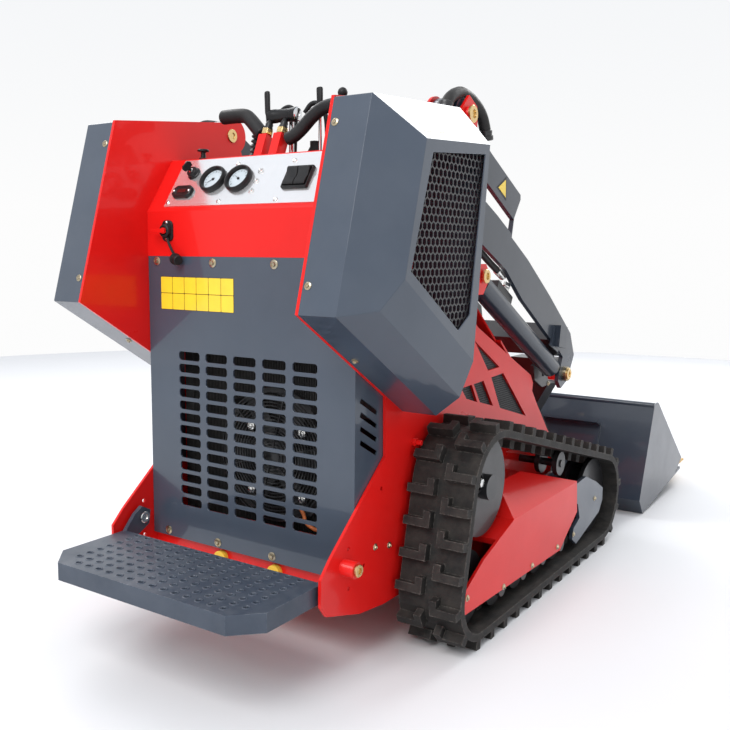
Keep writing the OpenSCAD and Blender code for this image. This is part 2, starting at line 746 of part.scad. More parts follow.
// Bent sheet of the back and floor, outer line then inner line, with the cutting edge at its front
floor_front = [2320, 69];
bucket_skin = [[1831, 418], [1684, 66], [1737, 2], [2200, 55], floor_front, floor_front + [0, bucket_t],
  [2199, 63], [1741, 10.5], [1692.5, 68], [1839, 415]];
module bucket_shell() {
  color(slate) {
    for (x = [-bucket_x, bucket_x - bucket_t]) plate(x, bucket_t, bucket_outline);
    plate(-bucket_x, 2 * bucket_x, bucket_skin);
    rod_x(-bucket_x, [1838, 424], 11, 2 * bucket_x);
  }
}

// Teeth sit on the cutting edge and hook over its front
tooth_w = 52;
tooth_pitch = 200;
tooth_side = [[2262, 70.4], floor_front + [0, bucket_t + 0.2], [floor_front[0] + 0.5, 66],
  [tooth_tip_y, 72], [tooth_tip_y, 78], [2345, 99], [2262, 90]];
module bucket_teeth() {
  color([0.85, 0.65, 0.15]) for (x = [-2.5:2.5]) plate(x * tooth_pitch - tooth_w / 2, tooth_w, tooth_side);
}

// Rows of round holes across the deck
deck_columns = 16;
deck_rows = 8;
deck_pitch_x = 36.6;
deck_pitch_y = 31.4;
module platform() {
  x = platform_x;
  z = platform_z;
  c = 62;
  color(slate) difference() {
    union() {
      translate([0, 0, z - platform_h]) linear_extrude(platform_h)
        polygon([[-x, -115], [x, -115], [x, platform_rear + c], [x - c, platform_rear],
          [-x + c, platform_rear], [-x, platform_rear + c]]);
      both_sides() plate(x - 12, 12, [[-140, z - 20], [-75, z - 20], [-35, 262], [-30, 300], [-60, 316],
        [-85, 300], [-120, z]]);
    }
    translate([0, 0, z - platform_h - 1]) linear_extrude(platform_h - 6)
      polygon([[-x + 8, -123], [x - 8, -123], [x - 8, platform_rear + c], [x - c, platform_rear + 8],
        [-x + c, platform_rear + 8], [-x + 8, platform_rear + c]]);
    for (i = [0:deck_columns - 1]) for (j = [0:deck_rows - 1])
      if (j > 0 || (i > 0 && i < deck_columns - 1))
        translate([deck_pitch_x * (i - (deck_columns - 1) / 2) + 8, -347.5 + deck_pitch_y * j, z - 20])
          cylinder(r = 6.5, h = 30, $fn = 8);
    rod_x(-x - 1, platform_pivot, 12 + run_gap, 2 * x + 2);
  }
}

machine() side_plate(-1);  // side_plate_left
machine() side_plate(1);  // side_plate_right
machine() belly_frame();
machine() rear_cover();
machine() console();
machine() instrument_panel();
machine() gauges();
machine() panel_switches();
machine() pod(-1);  // pod_left
machine() pod(1);  // pod_right
machine() pod_mesh(-1);  // pod_mesh_left
machine() pod_mesh(1);  // pod_mesh_right
machine() hood();
machine() hood_meshes();
machine() engine();
machine() radiator();
machine() cooling_fan();
machine() control_valve();
machine() control_levers();
machine() grip_bars();
machine() arm_hoses();
machine() track(-1);  // track_left
machine() track(1);  // track_right
machine() track_frame(-1);  // track_frame_left
machine() track_frame(1);  // track_frame_right
machine() idler_brackets();
machine() drive_sprockets();
machine() track_idlers();
machine() track_rollers();
machine() bumpers();
machine() arm(-1);  // arm_left
machine() arm(1);  // arm_right
machine() cross_beam();
machine() leg(-1);  // leg_left
machine() leg(1);  // leg_right
machine() arm_pins();
machine() lift_barrels();
machine() lift_rods();
machine() tilt_barrel();
machine() tilt_rod();
machine() attach_plate();
machine() bucket_shell();
machine() bucket_teeth();
machine() platform();
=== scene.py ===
import json
import math
import random

import bmesh
import bpy
from mathutils import Matrix, Vector
from mathutils.bvhtree import BVHTree

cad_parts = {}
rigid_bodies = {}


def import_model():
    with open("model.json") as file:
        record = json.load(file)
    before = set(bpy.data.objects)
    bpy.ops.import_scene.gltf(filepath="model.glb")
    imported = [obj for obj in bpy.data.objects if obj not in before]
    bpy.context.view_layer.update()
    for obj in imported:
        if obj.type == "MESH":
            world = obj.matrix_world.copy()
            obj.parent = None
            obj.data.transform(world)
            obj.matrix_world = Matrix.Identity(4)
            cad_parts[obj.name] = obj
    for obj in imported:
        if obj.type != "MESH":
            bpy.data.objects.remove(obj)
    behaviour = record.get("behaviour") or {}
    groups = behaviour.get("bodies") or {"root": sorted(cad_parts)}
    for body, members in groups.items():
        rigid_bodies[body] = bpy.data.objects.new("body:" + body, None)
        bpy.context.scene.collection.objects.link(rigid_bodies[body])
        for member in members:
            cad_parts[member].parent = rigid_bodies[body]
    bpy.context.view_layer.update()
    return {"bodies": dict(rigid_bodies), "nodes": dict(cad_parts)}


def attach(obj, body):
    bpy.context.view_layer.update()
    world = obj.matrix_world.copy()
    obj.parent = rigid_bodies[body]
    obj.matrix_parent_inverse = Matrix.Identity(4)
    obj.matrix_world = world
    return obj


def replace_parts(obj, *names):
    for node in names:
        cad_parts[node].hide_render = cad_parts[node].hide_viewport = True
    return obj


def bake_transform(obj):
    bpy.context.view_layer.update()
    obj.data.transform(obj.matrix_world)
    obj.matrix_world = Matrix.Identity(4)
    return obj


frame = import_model()
nodes = frame["nodes"]
bodies = frame["bodies"]
midY = 1057.5  # mm from the back of the rear cover to the row's middle


# Places are written in millimetres: x to the right, y forward from the back of the rear cover, z up.
def at(x, y, z):
    return Vector((x / 1000, (y - midY) / 1000, z / 1000))


# Matrix for building in millimetres at a place, with local z along the given direction.
def facing(place, direction, up=(0, 0, 1)):
    zAxis = Vector(direction).normalized()
    upAxis = Vector(up)
    if abs(zAxis.dot(upAxis.normalized())) > 0.98:
        upAxis = Vector((0, 1, 0))
    xAxis = upAxis.cross(zAxis).normalized()
    yAxis = zAxis.cross(xAxis)
    turned = Matrix((xAxis, yAxis, zAxis)).transposed().to_4x4()
    return Matrix.Translation(at(*place)) @ turned @ Matrix.Scale(0.001, 4)


plain = Matrix.Translation(at(0, 0, 0)) @ Matrix.Scale(0.001, 4)  # local axes are the machine's own


def mirrored(place, side):
    return (place[0] * side,) + tuple(place[1:])


# ---- mesh helpers -> each adds to a bmesh, in millimetres under a matrix
def addRings(bm, rings, closeStart=True, closeEnd=True, loop=True):
    made = [[bm.verts.new(p) for p in ring] for ring in rings]
    count = len(made[0])
    for a, b in zip(made, made[1:]):
        for i in range(count if loop else count - 1):
            j = (i + 1) % count
            bm.faces.new((a[i], a[j], b[j], b[i]))
    if closeStart:
        bm.faces.new(list(reversed(made[0])))
    if closeEnd:
        bm.faces.new(made[-1])


def addLathe(bm, place, profile, sides=28, hollow=False):
    rings = []
    for radius, height in profile + (profile[:1] if hollow else []):
        rings.append([place @ Vector((radius * math.cos(2 * math.pi * k / sides),
                                      radius * math.sin(2 * math.pi * k / sides), height))
                      for k in range(sides)])
    addRings(bm, rings, not hollow, not hollow)


def addPrism(bm, place, outline, low, high):
    rings = [[place @ Vector((p[0], p[1], z)) for p in outline] for z in (low, high)]
    addRings(bm, rings)


def addBox(bm, place, lo, hi):
    addPrism(bm, place, [(lo[0], lo[1]), (hi[0], lo[1]), (hi[0], hi[1]), (lo[0], hi[1])], lo[2], hi[2])


# Tube along points in millimetres, with round ends closed flat.
def addTube(bm, points, radius, sides=14):
    path = [at(*p) for p in points]
    side = Vector((0.3, 0.2, 1)).normalized()
    rings = []
    for i, p in enumerate(path):
        ahead = (path[min(i + 1, len(path) - 1)] - path[max(i - 1, 0)]).normalized()
        across = ahead.cross(side)
        if across.length < 0.05:
            across = ahead.cross(Vector((1, 0, 0)))
        across.normalize()
        over = across.cross(ahead).normalized()
        side = over
        r = radius / 1000
        rings.append([p + r * (math.cos(2 * math.pi * k / sides) * across
                               + math.sin(2 * math.pi * k / sides) * over) for k in range(sides)])
    addRings(bm, rings)


# Smooth points through a few chosen ones.
def curved(points, steps=6):
    pts = [Vector(p) for p in points]
    pts = [2 * pts[0] - pts[1]] + pts + [2 * pts[-1] - pts[-2]]
    out = []
    for i in range(1, len(pts) - 2):
        a, b, c, d = pts[i - 1], pts[i], pts[i + 1], pts[i + 2]
        for k in range(steps):
            t = k / steps
            out.append(0.5 * ((2 * b) + (c - a) * t + (2 * a - 5 * b + 4 * c - d) * t * t
                              + (3 * b - a - 3 * c + d) * t * t * t))
    out.append(pts[-2])
    return [tuple(p) for p in out]


def roundedRect(w, h, r, steps=4):
    out = []
    for cx, cy, start in ((w / 2 - r, h / 2 - r, 0), (-w / 2 + r, h / 2 - r, 90),
                          (-w / 2 + r, -h / 2 + r, 180), (w / 2 - r, -h / 2 + r, 270)):
        for k in range(steps + 1):
            a = math.radians(start + 90 * k / steps)
            out.append((cx + r * math.cos(a), cy + r * math.sin(a)))
    return out


def hexagon(acrossFlats, turn=0):
    r = acrossFlats / 2 / math.cos(math.pi / 6)
    return [(r * math.cos(math.radians(60 * k + turn)), r * math.sin(math.radians(60 * k + turn)))
            for k in range(6)]


def flangeBolt(bm, place, size=13):
    addLathe(bm, place, [(size * 0.98, 0), (size * 0.98, 1.2), (size * 0.72, 2.6), (size * 0.5, 2.8)], 20)
    ring = hexagon(size)
    addRings(bm, [[place @ Vector((p[0] * s, p[1] * s, z)) for p in ring]
                  for s, z in ((1, 2), (1, size * 0.5), (0.86, size * 0.62), (0.6, size * 0.62),
                               (0.5, size * 0.52))])


# Makes the object from a bmesh, gives it its finish, and rides it on its body.
def finishPiece(name, bm, finish, body, bevel=0.0, smoothAngle=35):
    bmesh.ops.remove_doubles(bm, verts=bm.verts, dist=0.000005)
    bmesh.ops.recalc_face_normals(bm, faces=bm.faces)
    mesh = bpy.data.meshes.new(name)
    bm.to_mesh(mesh)
    bm.free()
    piece = bpy.data.objects.new(name, mesh)
    bpy.context.scene.collection.objects.link(piece)
    mesh.materials.append(finish)
    for polygon in mesh.polygons:
        polygon.use_smooth = True
    mesh.set_sharp_from_angle(angle=math.radians(smoothAngle))
    if bevel:
        soft = piece.modifiers.new("edges", "BEVEL")
        soft.width = bevel / 1000
        soft.segments = 2
        soft.limit_method = "ANGLE"
        soft.angle_limit = math.radians(32)
        soft.harden_normals = True
    if body:
        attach(piece, body)
    return piece


print("stage: camera")
camera = {
    "place": (1462.3, -1644.8, 1009.7),
    "yaw": 33.57,
    "pitch": 7.25,
    "roll": 0.58,
    "lens": 42.39,
}


def makeCamera(look):
    yaw, pitch, roll = (math.radians(look[k]) for k in ("yaw", "pitch", "roll"))
    ahead = Vector((-math.sin(yaw) * math.cos(pitch), math.cos(yaw) * math.cos(pitch), -math.sin(pitch)))
    right = Vector((math.cos(yaw), math.sin(yaw), 0))
    up = right.cross(ahead)
    rolledRight = math.cos(roll) * right + math.sin(roll) * up
    rolledUp = -math.sin(roll) * right + math.cos(roll) * up
    data = bpy.data.cameras.new("camera")
    data.lens = look["lens"]
    data.sensor_width = 36
    data.clip_end = 60
    made = bpy.data.objects.new("camera", data)
    bpy.context.scene.collection.objects.link(made)
    made.matrix_world = (Matrix.Translation(at(*look["place"]))
                         @ Matrix((rolledRight, rolledUp, -ahead)).transposed().to_4x4())
    bpy.context.scene.camera = made


makeCamera(camera)

print("stage: finishes")


class Graph:
    # A short hand for wiring a material's nodes.
    def __init__(self, material):
        self.tree = material.node_tree
        self.nodes = self.tree.nodes

    def add(self, kind, **settings):
        node = self.nodes.new(kind)
        for key, value in settings.items():
            setattr(node, key, value)
        return node

    def join(self, source, target):
        self.tree.links.new(source, target)

    def noise(self, scale, detail=4.0, rough=0.55, coords=None):
        node = self.add("ShaderNodeTexNoise")
        node.inputs["Scale"].default_value = scale
        node.inputs["Detail"].default_value = detail
        node.inputs["Roughness"].default_value = rough
        self.join(coords, node.inputs["Vector"])
        return node.outputs["Fac"]

    def remap(self, source, fromLow, fromHigh, toLow=0.0, toHigh=1.0):
        node = self.add("ShaderNodeMapRange")
        for name, value in (("From Min", fromLow), ("From Max", fromHigh), ("To Min", toLow), ("To Max", toHigh)):
            node.inputs[name].default_value = value
        self.join(source, node.inputs["Value"])
        return node.outputs["Result"]

    def math(self, operation, a, b):
        node = self.add("ShaderNodeMath", operation=operation)
        for socket, value in zip(node.inputs, (a, b)):
            if isinstance(value, (int, float)):
                socket.default_value = value
            else:
                self.join(value, socket)
        return node.outputs[0]

    def mix(self, factor, a, b):
        node = self.add("ShaderNodeMix", data_type="RGBA")
        self.join(factor, node.inputs["Factor"])
        for socket, value in ((node.inputs[6], a), (node.inputs[7], b)):
            if isinstance(value, (tuple, list)):
                socket.default_value = (*value[:3], 1.0)
            else:
                self.join(value, socket)
        return node.outputs[2]


# Every finish: mottled colour, roughness that varies, fine bump, dust where it can settle, wear on edges.
def makeFinish(name, look):
    material = bpy.data.materials.new(name)
    material.use_nodes = True
    g = Graph(material)
    shader = g.nodes["Principled BSDF"]
    coords = g.add("ShaderNodeTexCoord").outputs["Object"]
    cloudy = g.noise(look.get("mottleScale", 6.0), 5.0, 0.6, coords)
    fine = g.noise(look.get("grainScale", 400.0), 3.0, 0.6, coords)
    colour = g.mix(g.remap(cloudy, 0.35, 0.7), look["colour"], look.get("shade", look["colour"]))
    rough = g.remap(cloudy, 0.3, 0.75, look["rough"][0], look["rough"][1])
    if look.get("speck"):  # fine flecks of another colour
        flecks = g.remap(g.noise(look["speckScale"], 6.0, 0.7, coords), look.get("speckFrom", 0.62), 0.72)
        colour = g.mix(g.math("MULTIPLY", flecks, look["speckAmount"]), colour, look["speck"])
    if look.get("brush"):  # fine lines drawn along x
        stretched = g.add("ShaderNodeMapping")
        stretched.inputs["Scale"].default_value = look["brush"]
        g.join(coords, stretched.inputs["Vector"])
        lines = g.noise(1.0, 3.0, 0.6, stretched.outputs["Vector"])
        rough = g.math("ADD", rough, g.remap(lines, 0.3, 0.7, -0.05, 0.08))
    if look.get("dust"):
        normal = g.add("ShaderNodeNewGeometry").outputs["Normal"]
        split = g.add("ShaderNodeSeparateXYZ")
        g.join(normal, split.inputs[0])
        settled = g.remap(split.outputs["Z"], look.get("dustFrom", -0.2), 1.0, look.get("dustSide", 0.15), 1.0)
        patches = g.remap(g.noise(look.get("dustScale", 9.0), 6.0, 0.65, coords), 0.38, 0.72)
        mask = g.math("MULTIPLY", g.math("MULTIPLY", settled, patches), look["dustAmount"])
        colour = g.mix(mask, colour, look["dust"])
        rough = g.math("ADD", rough, g.math("MULTIPLY", mask, 0.35))
    if look.get("wear"):
        round_ = g.add("ShaderNodeBevel", samples=4)
        round_.inputs["Radius"].default_value = look.get("wearWidth", 2.0) / 1000
        true = g.add("ShaderNodeNewGeometry").outputs["Normal"]
        dot = g.add("ShaderNodeVectorMath", operation="DOT_PRODUCT")
        g.join(round_.outputs[0], dot.inputs[0])
        g.join(true, dot.inputs[1])
        edge = g.remap(dot.outputs["Value"], 0.995, 0.9)
        chips = g.remap(g.noise(look.get("wearScale", 60.0), 5.0, 0.7, coords), look.get("wearFrom", 0.55), 0.75)
        mask = g.math("MULTIPLY", g.math("MULTIPLY", edge, chips), look["wearAmount"])
        colour = g.mix(mask, colour, look["wear"])
    g.join(colour, shader.inputs["Base Color"])
    g.join(rough, shader.inputs["Roughness"])
    shader.inputs["Metallic"].default_value = look.get("metal", 0.0)
    shader.inputs["Coat Weight"].default_value = look.get("coat", 0.0)
    shader.inputs["Coat Roughness"].default_value = look.get("coatRough", 0.08)
    shader.inputs["Specular IOR Level"].default_value = look.get("specular", 0.5)
    height = fine
    if look.get("waveScale"):  # slow unevenness, as in sprayed paint or beaten sheet
        slow = g.noise(look["waveScale"], 2.0, 0.5, coords)
        height = g.math("ADD", g.math("MULTIPLY", fine, look.get("fineShare", 0.2)), slow)
    bump = g.add("ShaderNodeBump")
    bump.inputs["Strength"].default_value = look.get("bump", 0.15)
    bump.inputs["Distance"].default_value = look.get("bumpDistance", 0.0004)
    g.join(height, bump.inputs["Height"])
    g.join(bump.outputs[0], shader.inputs["Normal"])
    return material


finishLooks = {
    "redPaint": {"colour": (0.72, 0.010, 0.008), "shade": (0.64, 0.008, 0.007), "rough": (0.26, 0.36),
                 "mottleScale": 3.0, "coat": 0.22, "coatRough": 0.04, "specular": 0.22, "waveScale": 55.0,
                 "fineShare": 0.1, "bump": 0.06, "bumpDistance": 0.0006, "dust": (0.30, 0.17, 0.12),
                 "dustAmount": 0.03, "dustSide": 0.05, "wear": (0.30, 0.03, 0.02), "wearAmount": 0.5,
                 "wearFrom": 0.6},
    "slatePaint": {"colour": (0.050, 0.066, 0.093), "shade": (0.041, 0.055, 0.079), "rough": (0.28, 0.40),
                   "mottleScale": 3.5, "coat": 0.6, "coatRough": 0.05, "specular": 0.3, "waveScale": 55.0,
                   "fineShare": 0.1, "bump": 0.06, "bumpDistance": 0.0006, "dust": (0.24, 0.24, 0.24),
                   "dustAmount": 0.10, "dustSide": 0.05, "wear": (0.26, 0.28, 0.32), "wearAmount": 0.5,
                   "wearFrom": 0.62},
    # Darker copy of the slate paint: painted shade for the arms, lift barrels, attach plate and bucket.
    "slatePaintedShade": {"colour": (0.024, 0.033, 0.050), "shade": (0.018, 0.026, 0.040), "rough": (0.26, 0.38),
                  "mottleScale": 3.5, "coat": 0.45, "coatRough": 0.05, "specular": 0.3, "waveScale": 55.0,
                  "fineShare": 0.1, "bump": 0.06, "bumpDistance": 0.0006, "dust": (0.2, 0.2, 0.2),
                  "dustAmount": 0.08, "dustSide": 0.05, "wear": (0.30, 0.33, 0.38), "wearAmount": 0.6,
                  "wearFrom": 0.55},
    "treadPaint": {"colour": (0.046, 0.060, 0.086), "shade": (0.036, 0.048, 0.070), "rough": (0.38, 0.55),
                   "mottleScale": 9.0, "coat": 0.2, "coatRough": 0.15, "specular": 0.3, "bump": 0.15,
                   "dust": (0.25, 0.26, 0.27), "dustAmount": 0.16, "dustScale": 30.0,
                   "wear": (0.34, 0.37, 0.41), "wearAmount": 0.7, "wearFrom": 0.45},
    "blackPaint": {"colour": (0.010, 0.010, 0.012), "shade": (0.016, 0.016, 0.018), "rough": (0.32, 0.5),
                   "mottleScale": 8.0, "coat": 0.2, "bump": 0.1, "dust": (0.23, 0.20, 0.17),
                   "dustAmount": 0.08, "wear": (0.22, 0.21, 0.2), "wearAmount": 0.5},
    "meshBlack": {"colour": (0.030, 0.032, 0.036), "shade": (0.050, 0.051, 0.055), "rough": (0.35, 0.55),
                  "mottleScale": 30.0, "bump": 0.1, "dust": (0.26, 0.24, 0.22), "dustAmount": 0.25},
    "panelSteel": {"colour": (0.93, 0.93, 0.94), "shade": (0.86, 0.86, 0.87), "rough": (0.12, 0.2), "metal": 0.8,
                   "brush": (3.0, 900.0, 900.0), "bump": 0.03, "bumpDistance": 0.0001},
    "blackPlastic": {"colour": (0.006, 0.006, 0.007), "shade": (0.011, 0.011, 0.012), "rough": (0.28, 0.42), "specular": 0.3,
                     "mottleScale": 25.0, "grainScale": 1400.0, "bump": 0.14, "bumpDistance": 0.0002,
                     "dust": (0.2, 0.19, 0.18), "dustAmount": 0.1},
    "gripRubber": {"colour": (0.007, 0.007, 0.008), "shade": (0.013, 0.013, 0.014), "rough": (0.42, 0.6), "specular": 0.25,
                   "mottleScale": 40.0, "grainScale": 1100.0, "bump": 0.25, "bumpDistance": 0.0002,
                   "dust": (0.2, 0.19, 0.18), "dustAmount": 0.12},
    "trackRubber": {"colour": (0.009, 0.009, 0.009), "shade": (0.019, 0.017, 0.016), "rough": (0.55, 0.8),
                    "mottleScale": 14.0, "grainScale": 320.0, "specular": 0.3, "bump": 0.5,
                    "bumpDistance": 0.0012, "dust": (0.15, 0.13, 0.11), "dustAmount": 0.24, "dustScale": 26.0,
                    "dustSide": 0.3, "dustFrom": -1.0, "wear": (0.22, 0.20, 0.18), "wearWidth": 5.0,
                    "wearAmount": 0.85, "wearFrom": 0.42, "wearScale": 90.0},
    "engineIron": {"colour": (0.026, 0.026, 0.028), "shade": (0.045, 0.043, 0.042), "rough": (0.45, 0.65),
                   "mottleScale": 12.0, "bump": 0.4, "metal": 0.2, "dust": (0.2, 0.17, 0.14), "dustAmount": 0.3},
    "yellowRubber": {"colour": (0.86, 0.55, 0.04), "shade": (0.78, 0.47, 0.03), "rough": (0.4, 0.55),
                     "mottleScale": 30.0, "bump": 0.15, "dust": (0.3, 0.25, 0.2), "dustAmount": 0.2},
    "toothPaint": {"colour": (0.62, 0.36, 0.06), "shade": (0.52, 0.30, 0.06), "rough": (0.4, 0.6),
                   "mottleScale": 20.0, "bump": 0.3, "wear": (0.4, 0.38, 0.36), "wearAmount": 0.7},
    "zinc": {"colour": (0.50, 0.41, 0.25), "shade": (0.42, 0.38, 0.30), "rough": (0.24, 0.4), "metal": 1.0,
             "mottleScale": 60.0, "bump": 0.12, "bumpDistance": 0.0002, "dust": (0.2, 0.16, 0.12),
             "dustAmount": 0.2, "dustScale": 60.0},
    "brass": {"colour": (0.78, 0.56, 0.26), "shade": (0.68, 0.5, 0.24), "rough": (0.2, 0.34), "metal": 1.0,
              "mottleScale": 60.0, "bump": 0.1, "bumpDistance": 0.0002},
    "chromeRod": {"colour": (0.78, 0.79, 0.80), "shade": (0.70, 0.71, 0.72), "rough": (0.07, 0.14), "metal": 1.0,
                  "brush": (700.0, 12.0, 12.0), "bump": 0.02, "bumpDistance": 0.0001},
    "blankYellow": {"colour": (0.88, 0.62, 0.03), "shade": (0.80, 0.55, 0.03), "rough": (0.3, 0.42),
                    "mottleScale": 18.0, "coat": 0.4, "bump": 0.05},
    "paleLabel": {"colour": (0.80, 0.76, 0.55), "shade": (0.74, 0.70, 0.50), "rough": (0.3, 0.42),
                  "mottleScale": 18.0, "coat": 0.3, "bump": 0.05},
    "dialWhite": {"colour": (0.50, 0.56, 0.60), "shade": (0.44, 0.50, 0.54), "rough": (0.35, 0.45), "coat": 1.0,
                  "mottleScale": 40.0, "bump": 0.03},
    "hoseRubber": {"colour": (0.009, 0.009, 0.010), "shade": (0.018, 0.017, 0.017), "rough": (0.4, 0.62), "specular": 0.3,
                   "mottleScale": 30.0, "grainScale": 900.0, "bump": 0.3, "bumpDistance": 0.0003,
                   "dust": (0.22, 0.2, 0.18), "dustAmount": 0.2},
    "bareEdge": {"colour": (0.62, 0.66, 0.72), "shade": (0.50, 0.54, 0.60), "rough": (0.22, 0.38), "metal": 0.85,
                 "mottleScale": 20.0, "bump": 0.15, "wear": (0.8, 0.8, 0.8), "wearAmount": 0.6},
    "orangeCable": {"colour": (0.60, 0.16, 0.04), "shade": (0.5, 0.13, 0.04), "rough": (0.4, 0.5), "bump": 0.1},
    "brightSteel": {"colour": (0.82, 0.82, 0.80), "shade": (0.70, 0.70, 0.68), "rough": (0.18, 0.32), "metal": 1.0,
                    "mottleScale": 80.0, "bump": 0.08, "bumpDistance": 0.0002},
    "darkGlass": {"colour": (0.05, 0.012, 0.012), "shade": (0.02, 0.008, 0.008), "rough": (0.06, 0.12),
                  "mottleScale": 200.0, "coat": 0.6, "bump": 0.02},
}
finishes = {name: makeFinish(name, look) for name, look in finishLooks.items()}

# Which finish each CAD node gets.
nodeFinish = {
    "redPaint": ("side_plate_left", "side_plate_right", "belly_frame", "console", "hood", "track_frame_left",
                 "track_frame_right"),
    "slatePaint": ("rear_cover", "pod_left", "pod_right", "idler_brackets"),
    # The arms, lift barrels, attach plate and bucket get the darker slate as painted shade.
    "slatePaintedShade": ("arm_left", "arm_right", "lift_barrels", "attach_plate", "bucket_shell"),
    "treadPaint": ("platform",),
    "blackPaint": ("cross_beam", "leg_left", "leg_right", "tilt_barrel", "drive_sprockets", "control_valve",
                   "cooling_fan", "track_idlers", "track_rollers"),
    "meshBlack": ("pod_mesh_left", "pod_mesh_right", "hood_meshes"),
    "panelSteel": ("instrument_panel",),
    "hoseRubber": ("arm_hoses",),
    "trackRubber": ("track_left", "track_right"),
    "engineIron": ("engine", "radiator"),
    "yellowRubber": ("bumpers",),
    "toothPaint": ("bucket_teeth",),
    "zinc": ("arm_pins",),
    "chromeRod": ("lift_rods", "tilt_rod"),
}
softEdge = {  # rounding of the CAD solids' sharp edges, mm
    "side_plate_left": 1.5, "side_plate_right": 1.5, "rear_cover": 0.8, "console": 1.2, "pod_left": 2.0,
    "pod_right": 2.0, "track_left": 2.2, "track_right": 2.2, "track_frame_left": 1.5, "track_frame_right": 1.5,
    "idler_brackets": 1.2, "arm_left": 1.2, "arm_right": 1.2, "cross_beam": 2.5, "leg_left": 1.2,
    "leg_right": 1.2, "bucket_shell": 1.2, "bucket_teeth": 2.0, "platform": 0.8, "attach_plate": 1.0,
}


def dressNodes():
    for finishName, members in nodeFinish.items():
        for name in members:
            mesh = nodes[name].data
            mesh.materials.clear()
            mesh.materials.append(finishes[finishName])
    for name, width in softEdge.items():
        weld = nodes[name].modifiers.new("weld", "WELD")
        weld.merge_threshold = 0.00002
        soft = nodes[name].modifiers.new("edges", "BEVEL")
        soft.width = width / 1000
        soft.segments = 2
        soft.limit_method = "ANGLE"
        soft.angle_limit = math.radians(30)
        soft.harden_normals = True


dressNodes()

print("stage: rear cover")
rearCover = {
    "bolts": [(-310, 990), (-105, 987), (100, 986), (-284, 241), (-98, 240), (90, 240)],
    "boltSize": 12,
    "platePlace": (-164.5, 904.5),  # middle of the blank yellow plate
    "plateSize": (263, 88),
    "plateCells": (6, 2),
}


def makeRearCover(look):
    bm = bmesh.new()
    for x, z in look["bolts"]:
        flangeBolt(bm, facing((x, 0, z), (0, -1, 0)), look["boltSize"])
    finishPiece("cover_bolts", bm, finishes["zinc"], "chassis")
    bm = bmesh.new()
    w, h = look["plateSize"]
    columns, rows = look["plateCells"]
    place = facing((look["platePlace"][0], 0, look["platePlace"][1]), (0, -1, 0))
    addPrism(bm, place, roundedRect(w, h, 3), -0.5, 0.6)
    finishPiece("blank_plate_back", bm, finishes["blackPlastic"], "chassis")
    bm = bmesh.new()
    for i in range(columns):
        for j in range(rows):
            cellW, cellH = w / columns, h / rows
            cell = place @ Matrix.Translation((-w / 2 + (i + 0.5) * cellW, -h / 2 + (j + 0.5) * cellH, 0))
            addPrism(bm, cell, roundedRect(cellW - 1.6, cellH - 1.6, 2), 0.2, 1.0)
    finishPiece("blank_plate_cells", bm, finishes["blankYellow"], "chassis")


makeRearCover(rearCover)

print("stage: side pods")
pod = {
    "side": 540,  # outer face
    "window": [(-82, 977.6), (136.5, 839.4), (193.7, 873.2), (254.6, 1251.3), (3.5, 1230.9)],
    "grow": 9,
    "pitch": 19.4,
    "bar": 3.4,
    "thick": 2.0,
    "depth": 9,  # mesh lies this far in from the face
}


def insideOutline(outline, p, grow):
    for a, b in zip(outline, outline[1:] + outline[:1]):
        edge = Vector((b[0] - a[0], b[1] - a[1]))
        away = (edge.x * (p[1] - a[1]) - edge.y * (p[0] - a[0])) / edge.length
        if away < -grow:
            return False
    return True


# Hexagonal mesh as one sheet with thickness: each cell is a ring between its edge and its hole.
def addHexSheet(bm, place, outline, pitch, bar, thick, grow):
    rise = pitch * math.sqrt(3) / 2
    xs = [p[0] for p in outline]
    ys = [p[1] for p in outline]
    cellRing = hexagon(pitch, 30)
    holeRing = hexagon(pitch - bar, 30)
    for j in range(int((max(ys) - min(ys)) / rise) + 3):
        for i in range(int((max(xs) - min(xs)) / pitch) + 3):
            x = min(xs) - pitch + i * pitch + (j % 2) * pitch / 2
            y = min(ys) - rise + j * rise
            if not insideOutline(outline, (x, y), grow):
                continue
            spot = place @ Matrix.Translation((x, y, 0))
            rings = [[spot @ Vector((p[0], p[1], z)) for p in ring]
                     for ring, z in ((cellRing, 0), (holeRing, 0), (holeRing, -thick), (cellRing, -thick))]
            addRings(bm, rings, False, False)


def makePodMesh(side, name, body, node):
    bm = bmesh.new()
    place = facing((side * (pod["side"] - pod["depth"]), 0, 0), (side, 0, 0))
    outline = [(side * y, z) for y, z in pod["window"]]
    if side < 0:
        outline.reverse()
    addHexSheet(bm, place, outline, pod["pitch"], pod["bar"], pod["thick"], pod["grow"])
    bmesh.ops.remove_doubles(bm, verts=bm.verts, dist=0.00005)
    piece = finishPiece(name, bm, finishes["meshBlack"], body)
    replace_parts(piece, node)


makePodMesh(1, "pod_hex_right", "chassis", "pod_mesh_right")
makePodMesh(-1, "pod_hex_left", "chassis", "pod_mesh_left")

print("stage: instruments")
instruments = {
    "knee": 1122,  # fold at the foot of the slope
    "run": 95,
    "rise": 144,
    "face": 3,  # the polished panel stands this far off the slope
    "screws": [(-277, 150), (-82, 143), (105, 143), (-277, 26), (-93, 25), (96, 24)],
    "gauges": [((-142, 93), 214), ((-53, 91), 148)],  # place on the slope and the needle's angle
    "keySwitch": (-228, 119),
    "hourMeter": (-235, 57),
    "lamps": [(8, 115), (7, 84), (5, 53)],
    "rockers": (141, 87),
    "pullKnob": (-235, 105, 1266),
    "isolator": (-266, 1070),
    "cap": (-224, -12, 997),
    "topScrews": [(-300, 112), (-205, 112), (200, 112)],
}


# Matrix on the sloping face: local x across, y up the slope, z out of it.
def onSlope(x, s, out=0.0):
    length = math.hypot(instruments["run"], instruments["rise"])
    alongY, alongZ = instruments["run"] / length, instruments["rise"] / length
    return facing((x, s * alongY - out * alongZ, instruments["knee"] + s * alongZ + out * alongY),
                  (0, -alongZ, alongY))


def turned(place, degrees, axis="Z"):
    return place @ Matrix.Rotation(math.radians(degrees), 4, axis)


def moved(place, x=0.0, y=0.0, z=0.0):
    return place @ Matrix.Translation((x, y, z))


